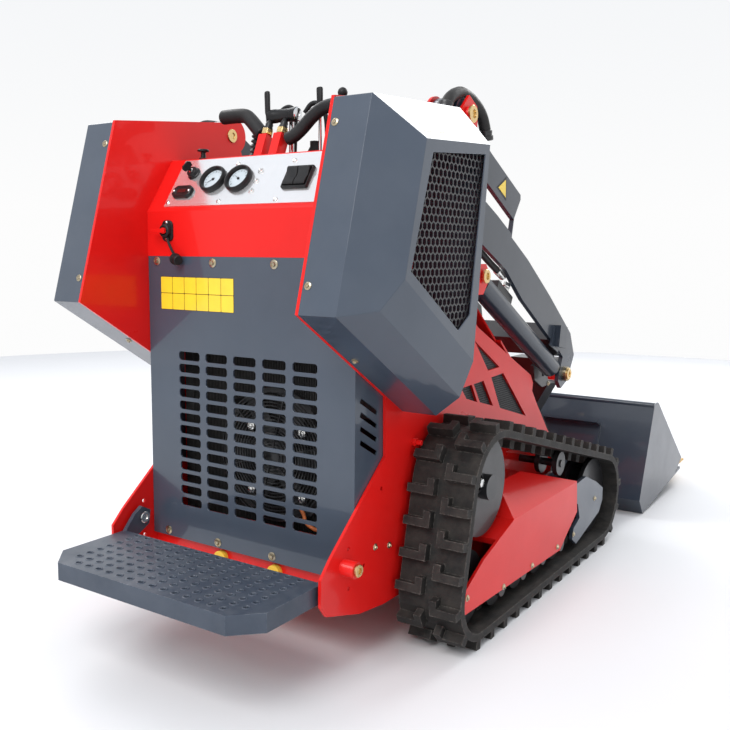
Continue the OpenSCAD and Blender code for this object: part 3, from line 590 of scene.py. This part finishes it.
def slottedScrew(bm, place, r=6.5):
    addLathe(bm, place, [(r, 0), (r, 0.8), (r * 0.85, 2.2), (r * 0.5, 3.2), (r * 0.12, 3.6)], 18)


def makeGauges(look):
    rims, dials, marks = bmesh.new(), bmesh.new(), bmesh.new()
    for (x, s), needle in look["gauges"]:
        place = onSlope(x, s, look["face"])
        addLathe(rims, place, [(40, 0), (40.5, 7), (39.5, 12), (37, 15.3), (34.5, 15.6), (32.5, 13.5),
                               (29.5, 6), (29.5, 0)], 56, hollow=True)
        addLathe(dials, place, [(30.5, 3), (30.5, 5), (0.5, 5.2)], 48)
        for k in range(13):
            tick = moved(turned(moved(place, z=5.3), 225 - 22.5 * k), x=22.5 if k % 3 else 21)
            addBox(marks, tick, (0, -0.35 if k % 3 else -0.6, 0), (4.5 if k % 3 else 6, 0.35 if k % 3 else 0.6, 0.3))
        hand = turned(moved(place, z=6.2), needle)
        addPrism(marks, hand, [(-6, -1), (21, -0.3), (21, 0.3), (-6, 1)], 0, 0.6)
        addLathe(marks, place, [(3.6, 5), (3.6, 7.4), (2.6, 8.2), (0.3, 8.3)], 20)
    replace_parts(finishPiece("gauge_rims", rims, finishes["blackPlastic"], "chassis"), "gauges")
    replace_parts(finishPiece("gauge_dials", dials, finishes["dialWhite"], "chassis"), "gauges")
    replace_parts(finishPiece("gauge_marks", marks, finishes["hoseRubber"], "chassis"), "gauges")


def makeSwitches(look):
    black, bright, red = bmesh.new(), bmesh.new(), bmesh.new()
    face = look["face"]
    key = onSlope(*look["keySwitch"], face)  # ignition lock with its key
    addLathe(black, key, [(19, 0), (19, 3), (17, 4.5), (15.5, 5), (15.5, 12), (13.5, 14.5), (4, 15)], 32)
    bow = turned(turned(moved(key, z=15), 62), 90, "X")
    addPrism(black, bow, [(-3, -1), (3, -1), (4, 8), (13, 10), (15, 20), (10, 27), (-10, 27), (-15, 20),
                          (-13, 10), (-4, 8)], -2.6, 2.6)
    addLathe(bright, key, [(6.5, 14), (6.5, 15.8), (5.5, 16.2), (1, 16.2)], 18)
    meter = onSlope(*look["hourMeter"], face)  # eight-sided hour meter with a dark window
    body = [(-33, -9), (-23, -18), (23, -18), (33, -9), (33, 9), (23, 18), (-23, 18), (-33, 9)]
    addRings(black, [[meter @ Vector((p[0] * k, p[1] * k, z)) for p in body]
                     for k, z in ((1.04, 0), (1.04, 3), (1, 8.5), (0.93, 10), (0.66, 10), (0.62, 8.4))])
    for x in (-27, 27):
        slottedScrew(bright, moved(meter, x=x, z=9.4), 4)
    addPrism(red, moved(meter, z=8.6), roundedRect(30, 11, 1.5), 0, 0.5)
    for x, s in look["lamps"]:  # three small pilot lamps
        addLathe(bright, onSlope(x, s, face), [(8, 0), (8, 2), (6.6, 3.6), (5.4, 3.6), (5.2, 2.2), (4.6, 5),
                                              (3, 6.6), (0.4, 7)], 22)
    rockers = onSlope(*look["rockers"], face)  # two rocker switches in one bezel
    addRings(black, [[rockers @ Vector((p[0] * kx, p[1] * ky, z)) for p in roundedRect(80, 66, 4)]
                     for kx, ky, z in ((1, 1, 0), (1, 1, 6), (0.97, 0.965, 9), (0.9, 0.86, 9), (0.88, 0.84, 6))])
    for x in (-17.6, 17.6):
        wedge = turned(turned(moved(rockers, x=x), 90), 90, "X")
        addPrism(black, wedge, [(-26, 5), (-26, 12), (-19, 14.5), (2, 10.5), (20, 17), (26, 16), (26, 5)],
                 -16.4, 16.4)
    knob = facing(look["pullKnob"], (0, 0, 1))
    addLathe(black, knob, [(12, 0), (12, 3), (7, 4), (6.5, 17), (8, 19), (15.5, 20), (16, 24), (13.5, 26.5),
                           (1, 27)], 28)
    for x, s in look["screws"]:
        slottedScrew(bright, onSlope(x, s, face))
    for piece in (finishPiece("switch_bodies", black, finishes["blackPlastic"], "chassis", 0.6),
                  finishPiece("panel_screws", bright, finishes["brightSteel"], "chassis"),
                  finishPiece("meter_window", red, finishes["darkGlass"], "chassis")):
        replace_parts(piece, "panel_switches")


# Battery isolator under the panel: round body, red key, and a rubber cap that hangs on its strap.
def makeIsolator(look):
    x, z = look["isolator"]
    place = facing((x, 0, z), (0, -1, 0))
    black, red, bright = bmesh.new(), bmesh.new(), bmesh.new()
    addRings(black, [[place @ Vector((p[0] * k, p[1] * k, h)) for p in roundedRect(40, 56, 15, 6)]
                     for k, h in ((1, 0), (1, 3.4), (0.94, 5))])
    addLathe(black, place, [(17.5, 4), (17.5, 15), (15, 17.5), (11.5, 18), (10.5, 12), (1, 12)], 32)
    for up in (-22, 22):
        slottedScrew(bright, moved(place, y=up, z=4.6), 4.6)
    addRings(red, [[place @ Vector((along, wide * side, 19 + tall * deep)) for side, deep in
                    ((-1, 0), (1, 0), (1, 1), (-1, 1))]
                   for along, wide, tall in ((12, 5.5, 9), (-12, 5.5, 9), (-44, 3.2, 5), (-47, 2.6, 4))])
    addLathe(red, place, [(8.5, 12), (8.5, 20), (7, 22), (1, 22)], 24)
    strap = curved([(x + 4, -7, z - 16), (x + 14, -13, z - 30), (x + 30, -16, z - 52), (x + 38, -14, z - 64)], 5)
    addTube(black, strap, 3.6, 8)
    cx, cy, cz = look["cap"]
    addLathe(black, facing((cx - 8, cy, cz), (1, -0.35, -0.2)),
             [(1, 0), (13, 0.5), (15.5, 3), (15.5, 9), (13.5, 10), (13, 24), (11, 26), (1, 26)], 28)
    for piece in (finishPiece("isolator_body", black, finishes["gripRubber"], "chassis"),
                  finishPiece("isolator_key", red, finishes["redPaint"], "chassis", 0.8),
                  finishPiece("isolator_screws", bright, finishes["brightSteel"], "chassis")):
        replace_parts(piece, "panel_switches")


makeGauges(instruments)
makeSwitches(instruments)
makeIsolator(instruments)

print("stage: hand controls")
controls = {
    "leftRadius": 19,
    "leftGrip": [(-198, 150, 1380), (-150, 150, 1380), (-120, 150, 1377), (-100, 147, 1365), (-75, 141, 1344),
                 (-54, 136, 1326)],
    "rightRadius": 17,
    "rightGrip": [(40, 131, 1306), (58, 134, 1313), (80, 140, 1332), (104, 146, 1357), (128, 150, 1374),
                  (160, 150, 1382), (205, 150, 1382)],
    "posts": [(-35, 134, 1319), (15, 134, 1319)],  # tops of the two leaning posts
    "lean": 22,
    "nut": 27,
    "flatLevers": [((-44, 150, 1372), (-49, 154, 1436), 15), ((106, 178, 1392), (102, 182, 1437), 17)],
    "rods": [((95, 195, 1246), (105, 180, 1394), 4.5), ((165, 195, 1246), (152, 190, 1400), 6),
             ((0, 195, 1246), (0, 195, 1362), 7)],
    "boots": [(70, 205, 1244), (128, 200, 1244)],
    "knobs": [((165, 195, 1420), 13)],
    "bar": ((-45, 160, 1371), (47, 160, 1371)),
    "bellows": ((-104, 180, 1246), (-84, 158, 1330), 7),
    "loops": [[(-60, 215, 1372), (-52, 222, 1398), (-30, 226, 1404), (-8, 220, 1384), (0, 210, 1330), (0, 205, 1248)],
              [(40, 200, 1380), (58, 205, 1402), (80, 208, 1400), (100, 210, 1372), (110, 205, 1310), (110, 200, 1248)]],
}


def roundedTube(bm, points, radius, sides=26):
    path = [at(*p) for p in points]
    for end, inner in ((0, 1), (-1, -2)):
        away = (path[end] - path[inner]).normalized() * 0.001
        place = Matrix.Translation(path[end]) @ away.to_track_quat("Z", "Y").to_matrix().to_4x4() @ Matrix.Scale(0.001, 4)
        addLathe(bm, place, [(radius, -0.5), (radius * 0.985, radius * 0.12), (radius * 0.88, radius * 0.26),
                             (radius * 0.5, radius * 0.34), (radius * 0.03, radius * 0.36)], sides)
    addTube(bm, points, radius, sides)


def makeGrips(look):
    bm = bmesh.new()
    roundedTube(bm, curved(look["leftGrip"], 6), look["leftRadius"])
    roundedTube(bm, curved(look["rightGrip"], 6), look["rightRadius"])
    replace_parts(finishPiece("grip_sleeves", bm, finishes["gripRubber"], "chassis"), "grip_bars")


def makeLevers(look):
    black, rubber, brass, bright = bmesh.new(), bmesh.new(), bmesh.new(), bmesh.new()
    lean = math.radians(look["lean"])
    for x, y, z in look["posts"]:
        place = facing((x, y, z), (0, math.sin(lean), math.cos(lean)), (0, -1, 0))
        ring = hexagon(look["nut"], 8)
        addRings(brass, [[place @ Vector((p[0] * k, p[1] * k, h)) for p in ring]
                         for k, h in ((0.92, 0), (1, 1.5), (1, 15), (0.9, 17), (0.55, 17))])
        addLathe(black, place, [(11, 16), (12, 20), (9.5, 27), (10.5, 31), (8, 38), (6, 44), (1, 44)], 24)
    for low, high, wide in look["flatLevers"]:
        ahead = Vector(high) - Vector(low)
        place = facing(low, ahead, (0, -1, 0))
        rings = []
        for t, grow in ((-0.45, 0.5), (0, 0.72), (0.12, 0.95), (0.5, 1.0), (0.9, 1.04), (0.98, 0.9), (1.0, 0.6)):
            rings.append([place @ Vector((p[0] * grow, p[1] * grow, ahead.length * t))
                          for p in roundedRect(wide, 11, 4.5)])
        addRings(rubber, rings)
    for low, high, r in look["rods"]:
        addTube(bright, [low, high], r, 14)
        addLathe(rubber, facing(low, (0, 0, 1)), [(15, -2), (15, 3), (11, 6), (12, 9), (9, 13), (9.5, 16), (7, 20),
                                                  (1, 20)], 20)
    for spot in look["boots"]:  # rubber boots at the levers' feet
        addLathe(rubber, facing(spot, (0, 0, 1)), [(26, 0), (26, 6), (21, 14), (23, 20), (17, 30), (19, 37), (13, 48),
                                                   (13, 62), (1, 64)], 26)
    for spot, r in look["knobs"]:
        addLathe(rubber, facing(spot, (0, 0, 1)), [(r * 0.35, -r * 1.05), (r * 0.6, -r * 0.85), (r * 0.92, -r * 0.4), (r, 0),
                                                   (r * 0.9, r * 0.45), (r * 0.6, r * 0.8), (r * 0.2, r * 0.98)], 24)
    a, b = look["bar"]  # thumb throttle between the grips, with its bright end
    bar = facing(a, Vector(b) - Vector(a))
    length = (Vector(b) - Vector(a)).length
    addLathe(black, bar, [(15, 0), (18, 2), (18, 22), (17, 24), (17, length - 16), (18.5, length - 14),
                          (18.5, length), (1, length)], 30)
    addLathe(bright, bar, [(17.5, length), (17.5, length + 1.5), (15.5, length + 3.5), (6, length + 4),
                           (5, length + 2.5), (0.5, length + 2.5)], 28)
    foot, head, count = look["bellows"]
    ahead = Vector(head) - Vector(foot)
    profile = []
    for k in range(count):
        h = ahead.length * k / count
        step = ahead.length / count
        big = 27 - 11 * k / count
        profile += [(big - 6, h), (big, h + step * 0.3), (big, h + step * 0.55), (big - 6, h + step * 0.9)]
    addLathe(rubber, facing(foot, ahead, (0, -1, 0)), profile + [(8, ahead.length), (1, ahead.length)], 30)
    for loop in look["loops"]:
        addTube(rubber, curved(loop, 7), 6.5, 12)
    for piece in (finishPiece("lever_bodies", black, finishes["blackPlastic"], "chassis"),
                  finishPiece("lever_rubber", rubber, finishes["gripRubber"], "chassis"),
                  finishPiece("lever_nuts", brass, finishes["brass"], "chassis", 0.8),
                  finishPiece("lever_rods", bright, finishes["chromeRod"], "chassis")):
        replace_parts(piece, "control_levers")


makeGrips(controls)
makeLevers(controls)

print("stage: fasteners")
trees = [BVHTree.FromPolygons([node.matrix_world @ v.co for v in node.data.vertices],
                              [tuple(p.vertices) for p in node.data.polygons]) for node in nodes.values()]


# Matrix at the first CAD face under a place, looking from outside along the given direction.
def seated(place, outward, reach=30):
    out = Vector(outward).normalized()
    start = at(*place) + out * reach / 1000
    found = [hit for hit in (tree.ray_cast(start, -out, 2 * reach / 1000) for tree in trees) if hit[0] is not None]
    spot = facing(place, out)
    if found:
        spot.translation = min(found, key=lambda hit: hit[3])[0]
    return spot


def bothSides(place, outward):
    return [(mirrored(place, side), mirrored(outward, side)) for side in (1, -1)]


fasteners = {  # place and outward direction; each bolt is also on the other side
    "size": 9,
    "bolts": [
        ("chassis", (366.5, -118.4, 1290.9), (0, -0.96, 0.26)),
        ("chassis", (367.1, -212.5, 945.7), (0, -0.96, 0.26)),
        ("chassis", (375.5, -48.2, 772.9), (0, -0.53, -0.85)),
        ("chassis", (353, 79.6, 295.8), (1, 0, 0)),
        ("chassis", (353, 145, 282.5), (1, 0, 0)),
        ("chassis", (540, 238, 152), (1, 0, 0)),
        ("chassis", (540, 460, 110), (1, 0, 0)),
        ("chassis", (540, 660, 110), (1, 0, 0)),
        ("chassis", (540, 860, 110), (1, 0, 0)),
        ("chassis", (540, 1025, 105), (1, 0, 0)),
        ("chassis", (540, 1225, 180), (1, 0, 0)),
        ("arms", (326, 1254, 563), (1, 0, 0)),
    ],
    "redBolt": (353, 256, 530),
    "hub": (520, 345, 425),
    "pins": [  # body, place, radius of the socket head
        ("chassis", (454, 350, 1365), 22),
        ("chassis", (410, 545, 956), 20),
        ("arms", (411, 1204, 610), 20),
        ("chassis", (391, -55, 285), 15),
    ],
    "insidePins": [("ear_pin_left", "brass", (-345, 341.6, 1363), 20), ("platform_pin_left", "brightSteel", (-320, -55, 285), 16),
                   ("ear_pin_right", "brass", (345, 341.6, 1363), 20), ("platform_pin_right", "brightSteel", (320, -55, 285), 16)],
}


def socketHead(bm, place, r, high=6):
    addLathe(bm, place, [(r, -1), (r, high - 1.5), (r - 1.5, high), (r * 0.5, high), (r * 0.46, high * 0.3),
                         (0.5, high * 0.3)], 32)


def makeFasteners(look):
    bolts = {"chassis": bmesh.new(), "arms": bmesh.new()}
    for body, place, outward in look["bolts"]:
        for spot, out in bothSides(place, outward):
            flangeBolt(bolts[body], seated(spot, out), look["size"])
    for body, bm in bolts.items():
        finishPiece("bolts_" + body, bm, finishes["zinc"], body)
    heads = {"chassis": bmesh.new(), "arms": bmesh.new()}
    for body, place, r in look["pins"]:
        for spot, out in bothSides(place, (1, 0, 0)):
            socketHead(heads[body], seated(spot, out), r)
    for body, bm in heads.items():
        finishPiece("pin_heads_" + body, bm, finishes["brass"], body)
    for name, finish, spot, r in look["insidePins"]:
        bm = bmesh.new()
        socketHead(bm, seated(spot, (-1 if spot[0] > 0 else 1, 0, 0)), r, 4)
        finishPiece(name, bm, finishes[finish], "chassis")
    red, hubs, ends = bmesh.new(), bmesh.new(), bmesh.new()
    for spot, out in bothSides(look["redBolt"], (1, 0, 0)):
        place = seated(spot, out)
        addPrism(red, place, hexagon(19), -1, 12)
        addLathe(red, moved(place, z=12), [(7, 0), (7, 14), (6, 15), (0.5, 15)], 20)
    for spot, out in bothSides(look["hub"], (1, 0, 0)):
        place = seated(spot, out)
        addLathe(hubs, place, [(30, -2), (30, 7), (27, 10), (21, 10), (20, 5), (14, 5), (14, 9), (1, 9)], 36)
        addRings(ends, [[place @ Vector((p[0] * k, p[1] * k, h)) for p in hexagon(22)]
                        for k, h in ((1, 4), (1, 17), (0.86, 19.5), (0.5, 19.5))])
    finishPiece("tail_bolts", red, finishes["redPaint"], "chassis", 0.8)
    finishPiece("sprocket_hubs", hubs, finishes["blackPaint"], "chassis")
    finishPiece("sprocket_bolts", ends, finishes["brightSteel"], "chassis")


makeFasteners(fasteners)

print("stage: labels and brackets")
patches = {  # thin shapes laid on CAD faces: name, body, finish, slot, outward, thickness, corners, on both sides
    "blank_label_pod": ("chassis", "paleLabel", "tooth_paint", (0.72, -0.05, 0.69), 0.8,
                        [(494, -1, 1307), (489, 106, 1320), (523, 96, 1283), (525, -10, 1275)], False),
    "arm_triangle_rim": ("arms", "blackPlastic", "tooth_paint", (1, 0, 0), 0.5,
                         [(402, 679, 1239), (402, 615, 1205), (402, 681, 1171)], True),
    "arm_triangle": ("arms", "blankYellow", "tooth_paint", (1, 0, 0), 1.0,
                     [(402, 674, 1230), (402, 626, 1205), (402, 676, 1180)], True),
    # the arm clip gets the darker slate, painted shade
    "arm_clip": ("arms", "slatePaintedShade", "slate_paint", (1, 0, 0), 5.0,
                 [(402, 1094, 784), (402, 1181, 773), (402, 1126, 692), (402, 1055, 721)], True),
}


def makePatches(look):
    for name, (body, finish, slot, outward, thick, corners, twice) in look.items():
        bm = bmesh.new()
        for side in (1, -1) if twice else (1,):
            out = Vector(mirrored(outward, side)).normalized()
            ring = [seated(mirrored(corner, side), out, 15).translation for corner in corners]
            addRings(bm, [[p + out * h / 1000 for p in ring] for h in (-0.4, thick)])
        finishPiece(name, bm, finishes[finish], body)


makePatches(patches)

print("stage: hoses")
hoses = {
    "x": 422,
    "rightRadius": 15.5,
    "rightLoop": [(264, 1362), (270, 1378), (290, 1398), (322, 1413), (357, 1419), (412, 1409), (463, 1384),
                  (488, 1350), (496, 1322)],
    "leftRadius": 12,
    "leftLoop": [(268, 1362), (276, 1378), (300, 1396), (340, 1402), (390, 1400), (440, 1384), (480, 1352),
                 (490, 1326)],
    "bendFrom": 275,  # the loops lie along the arms over this stretch
    "bendTo": 485,
    "fitting": (370, 738, 905),  # valve block on the lift barrel
    "fittingUp": (0, 0.463, 0.886),
    "feed": [(745, 952), (700, 972), (650, 994), (600, 1018), (578, 1030)],
}


def makeHoses(look):
    for side, name, radius, loop in ((1, "arm_hose_right", look["rightRadius"], look["rightLoop"]),
                                     (-1, "arm_hose_left", look["leftRadius"], look["leftLoop"])):
        points = curved([(side * look["x"], y, z) for y, z in loop], 6)
        bm = bmesh.new()
        addTube(bm, points, radius, 20)
        hose = finishPiece(name, bm, finishes["hoseRubber"], None)
        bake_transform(hose)
        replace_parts(hose, "arm_hoses")
        for end, body, nextPoint in ((0, "chassis", 4), (-1, "arms", -5)):
            tip, inner = Vector(points[end]), Vector(points[nextPoint])
            away = (inner - tip).normalized()
            crimp = bmesh.new()
            r = radius
            addLathe(crimp, facing(tuple(tip), away), [(r + 3, -4), (r + 5, -2), (r + 5, 8), (r + 2.5, 9), (r + 2.5, 14),
                                                       (r + 3.2, 16), (r + 3.2, 22), (r + 0.5, 24)], 24)
            finishPiece(name + "_end_" + body, crimp, finishes["blackPaint"], body)
    blocks, metal, rubber = bmesh.new(), bmesh.new(), bmesh.new()
    for side in (1, -1):
        x, y, z = look["fitting"]
        place = facing((side * x, y, z), look["fittingUp"])
        addBox(blocks, place, (-13, -58, -22), (13, 58, 12))
        addPrism(metal, moved(place, y=-18, z=12), hexagon(24), 0, 12)
        addLathe(metal, moved(place, y=-18, z=12), [(12, 11), (14, 14), (14, 26), (9, 30), (1, 30)], 24)
        addPrism(metal, moved(place, y=34, z=12), hexagon(19), 0, 8)
        feed = [(side * x, fy, fz) for fy, fz in look["feed"]]
        addTube(metal, feed[:2], 12.5, 18)
        addTube(rubber, curved(feed[1:], 5), 10, 16)
    finishPiece("lift_blocks", blocks, finishes["blackPaint"], "lift_barrels_body", 1.5)
    finishPiece("lift_fittings", metal, finishes["brightSteel"], "lift_barrels_body", 0.8)
    finishPiece("lift_hoses", rubber, finishes["hoseRubber"], "lift_barrels_body")


makeHoses(hoses)

print("stage: fan guard")
fan = {
    "middle": (55, 42, 490),
    "rings": (26, 176, 9),  # first and last radius, step
    "wire": 1.5,
    "spokes": 6,
    "bolts": [(-10, 565), (-10, 395), (158, 565), (158, 395)],
    "fins": (-246, 246, 5.4),  # first and last place of the radiator's fins, step
    "finHeight": (294, 786),
    "cable": [(150, 40, 372), (164, 38, 352), (170, 36, 338), (186, 38, 326), (204, 44, 318)],
}


def makeFanGuard(look):
    bm, bolts = bmesh.new(), bmesh.new()
    place = facing(look["middle"], (0, -1, 0))
    w = look["wire"]
    first, last, step = look["rings"]
    for r in range(first, last + 1, step):
        addLathe(bm, place, [(r - w, -w), (r + w, -w), (r + w, w), (r - w, w)], 48, hollow=True)
    for k in range(look["spokes"]):
        arm = turned(place, 360 * k / look["spokes"] + 15)
        addBox(bm, arm, (first - 3, -2, 1), (last + 6, 2, 4))
    for k in range(4):
        foot = turned(place, 90 * k + 45)
        addBox(bm, foot, (last - 2, -7, -30), (last + 12, 7, 4))
    finishPiece("fan_guard", bm, finishes["blackPaint"], "chassis", smoothAngle=50)
    for x, z in look["bolts"]:
        spot = facing((x, 36, z), (0, -1, 0))
        addLathe(bolts, spot, [(11, -4), (11, 0), (7, 1), (7, 5), (5.5, 6), (0.5, 6)], 20)
    finishPiece("fan_bolts", bolts, finishes["brightSteel"], "chassis")
    fins = bmesh.new()
    start, end, step = look["fins"]
    low, high = look["finHeight"]
    for k in range(int((end - start) / step) + 1):
        x = start + k * step
        addBox(fins, facing((x, 0, 0), (0, 0, 1), (0, 1, 0)), (-0.6, 71, low), (0.6, 76, high))
    finishPiece("radiator_fins", fins, finishes["engineIron"], "chassis")
    cable = bmesh.new()
    addTube(cable, curved(look["cable"], 6), 5, 12)
    finishPiece("fan_cable", cable, finishes["orangeCable"], "chassis")


makeFanGuard(fan)

print("stage: woven mesh")
weave = {"pitch": 7.0, "wire": 1.1, "step": 3.0}


# Fine wire mesh behind the side plates' slots, over the area of the CAD panels.
def makeWeave(look):
    bm = bmesh.new()
    node = nodes["hood_meshes"]
    points = [node.matrix_world @ v.co for v in node.data.vertices]
    tree = trees[list(nodes).index("hood_meshes")]
    w = look["wire"]

    # Runs along one wire that lie over the CAD panel: (start, end) pairs.
    def runs(side, low, high, spotAt):
        found, begin, here = [], None, low
        while here <= high + look["step"]:
            y, z = spotAt(here)
            hit = tree.ray_cast(at(side * 500, y, z), Vector((-side, 0, 0)), 0.3)[0] if here <= high else None
            if hit is not None and begin is None:
                begin = here
            if hit is None and begin is not None:
                found.append((begin, here - look["step"]))
                begin = None
            here += look["step"]
        return [run for run in found if run[1] - run[0] > look["step"]]

    for side in (1, -1):
        own = [(p.x * 1000, p.y * 1000 + midY, p.z * 1000) for p in points if p.x * side > 0.2]
        (x0, x1), (y0, y1), (z0, z1) = [(min(axis), max(axis)) for axis in zip(*own)]
        x = (x0 + x1) / 2
        flat = Matrix.Translation(at(x, 0, 0)) @ Matrix.Scale(0.001, 4)
        for k in range(int((y1 - y0) / look["pitch"])):
            y = y0 + (k + 0.5) * look["pitch"]
            for low, high in runs(side, z0, z1, lambda here: (y, here)):
                addBox(bm, flat, (-w, y - w, low), (w, y + w, high))
        for k in range(int((z1 - z0) / look["pitch"])):
            z = z0 + (k + 0.5) * look["pitch"]
            for low, high in runs(side, y0, y1, lambda here: (here, z)):
                addBox(bm, flat, (-w - 0.6, low, z - w), (w - 0.6, high, z + w))
    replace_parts(finishPiece("side_weave", bm, finishes["meshBlack"], "chassis"), "hood_meshes")


makeWeave(weave)

print("stage: platform deck")
deck = {"columns": 16, "rows": 8, "pitchX": 36.6, "pitchY": 31.4, "firstY": -347.5, "shiftX": 8, "top": 260}


# A pressed rim round each of the deck's holes.
def makeDeck(look):
    bm = bmesh.new()
    for i in range(look["columns"]):
        for j in range(look["rows"]):
            if j == 0 and i in (0, look["columns"] - 1):
                continue
            x = look["pitchX"] * (i - (look["columns"] - 1) / 2) + look["shiftX"]
            place = facing((x, look["firstY"] + look["pitchY"] * j, look["top"]), (0, 0, 1))
            addLathe(bm, place, [(11, -0.4), (9.8, 0.9), (8, 1.7), (6.9, 1.2), (6.4, -3), (8, -3)], 16, hollow=True)
    finishPiece("deck_rims", bm, finishes["treadPaint"], "platform_body", smoothAngle=60)


makeDeck(deck)

print("stage: floor and light")
studio = {
    "floor": (0.74, 0.74, 0.75),
    "floorReach": 6.5,
    "horizon": (0.98, 0.98, 0.98),
    "zenith": (0.76, 0.80, 0.86),
    "lamps": [  # place in metres, size, power, aimed at the machine's middle
        ((0.6, -4.6, 4.6), 3.2, 230),
        ((-4.0, 0.5, 4.4), 2.6, 110),
        ((0.8, 5.0, 4.4), 3.2, 190),
    ],
}


def makeStudio(look):
    mesh = bpy.data.meshes.new("floor")
    rim = [(look["floorReach"] * math.cos(math.pi * k / 48), look["floorReach"] * math.sin(math.pi * k / 48), 0)
           for k in range(96)]
    mesh.from_pydata(rim, [], [tuple(range(96))])
    floor = bpy.data.objects.new("floor", mesh)
    bpy.context.scene.collection.objects.link(floor)
    material = bpy.data.materials.new("floorPaint")
    material.use_nodes = True
    g = Graph(material)
    shader = g.nodes["Principled BSDF"]
    coords = g.add("ShaderNodeTexCoord").outputs["Object"]
    tint = g.mix(g.remap(g.noise(1.5, 3.0, 0.5, coords), 0.3, 0.7), look["floor"],
                 tuple(c * 0.985 for c in look["floor"]))
    g.join(tint, shader.inputs["Base Color"])
    shader.inputs["Roughness"].default_value = 0.75
    mesh.materials.append(material)
    world = bpy.data.worlds.new("studio")
    world.use_nodes = True
    sky = Graph(world)
    aim = sky.add("ShaderNodeSeparateXYZ")
    sky.join(sky.add("ShaderNodeTexCoord").outputs["Generated"], aim.inputs[0])
    shade = sky.mix(sky.remap(aim.outputs["Z"], 0.05, 0.8), look["horizon"], look["zenith"])
    sky.join(shade, sky.nodes["Background"].inputs["Color"])
    bpy.context.scene.world = world
    middle = Vector((0, 0, 0.7))
    for place, size, power in look["lamps"]:
        data = bpy.data.lights.new("softbox", "AREA")
        data.energy = power
        data.size = size
        lamp = bpy.data.objects.new("softbox", data)
        lamp.location = place
        lamp.rotation_euler = (middle - Vector(place)).to_track_quat("-Z", "Y").to_euler()
        bpy.context.scene.collection.objects.link(lamp)
    bpy.context.scene.view_settings.view_transform = "Standard"


makeStudio(studio)

print("stage: finish")
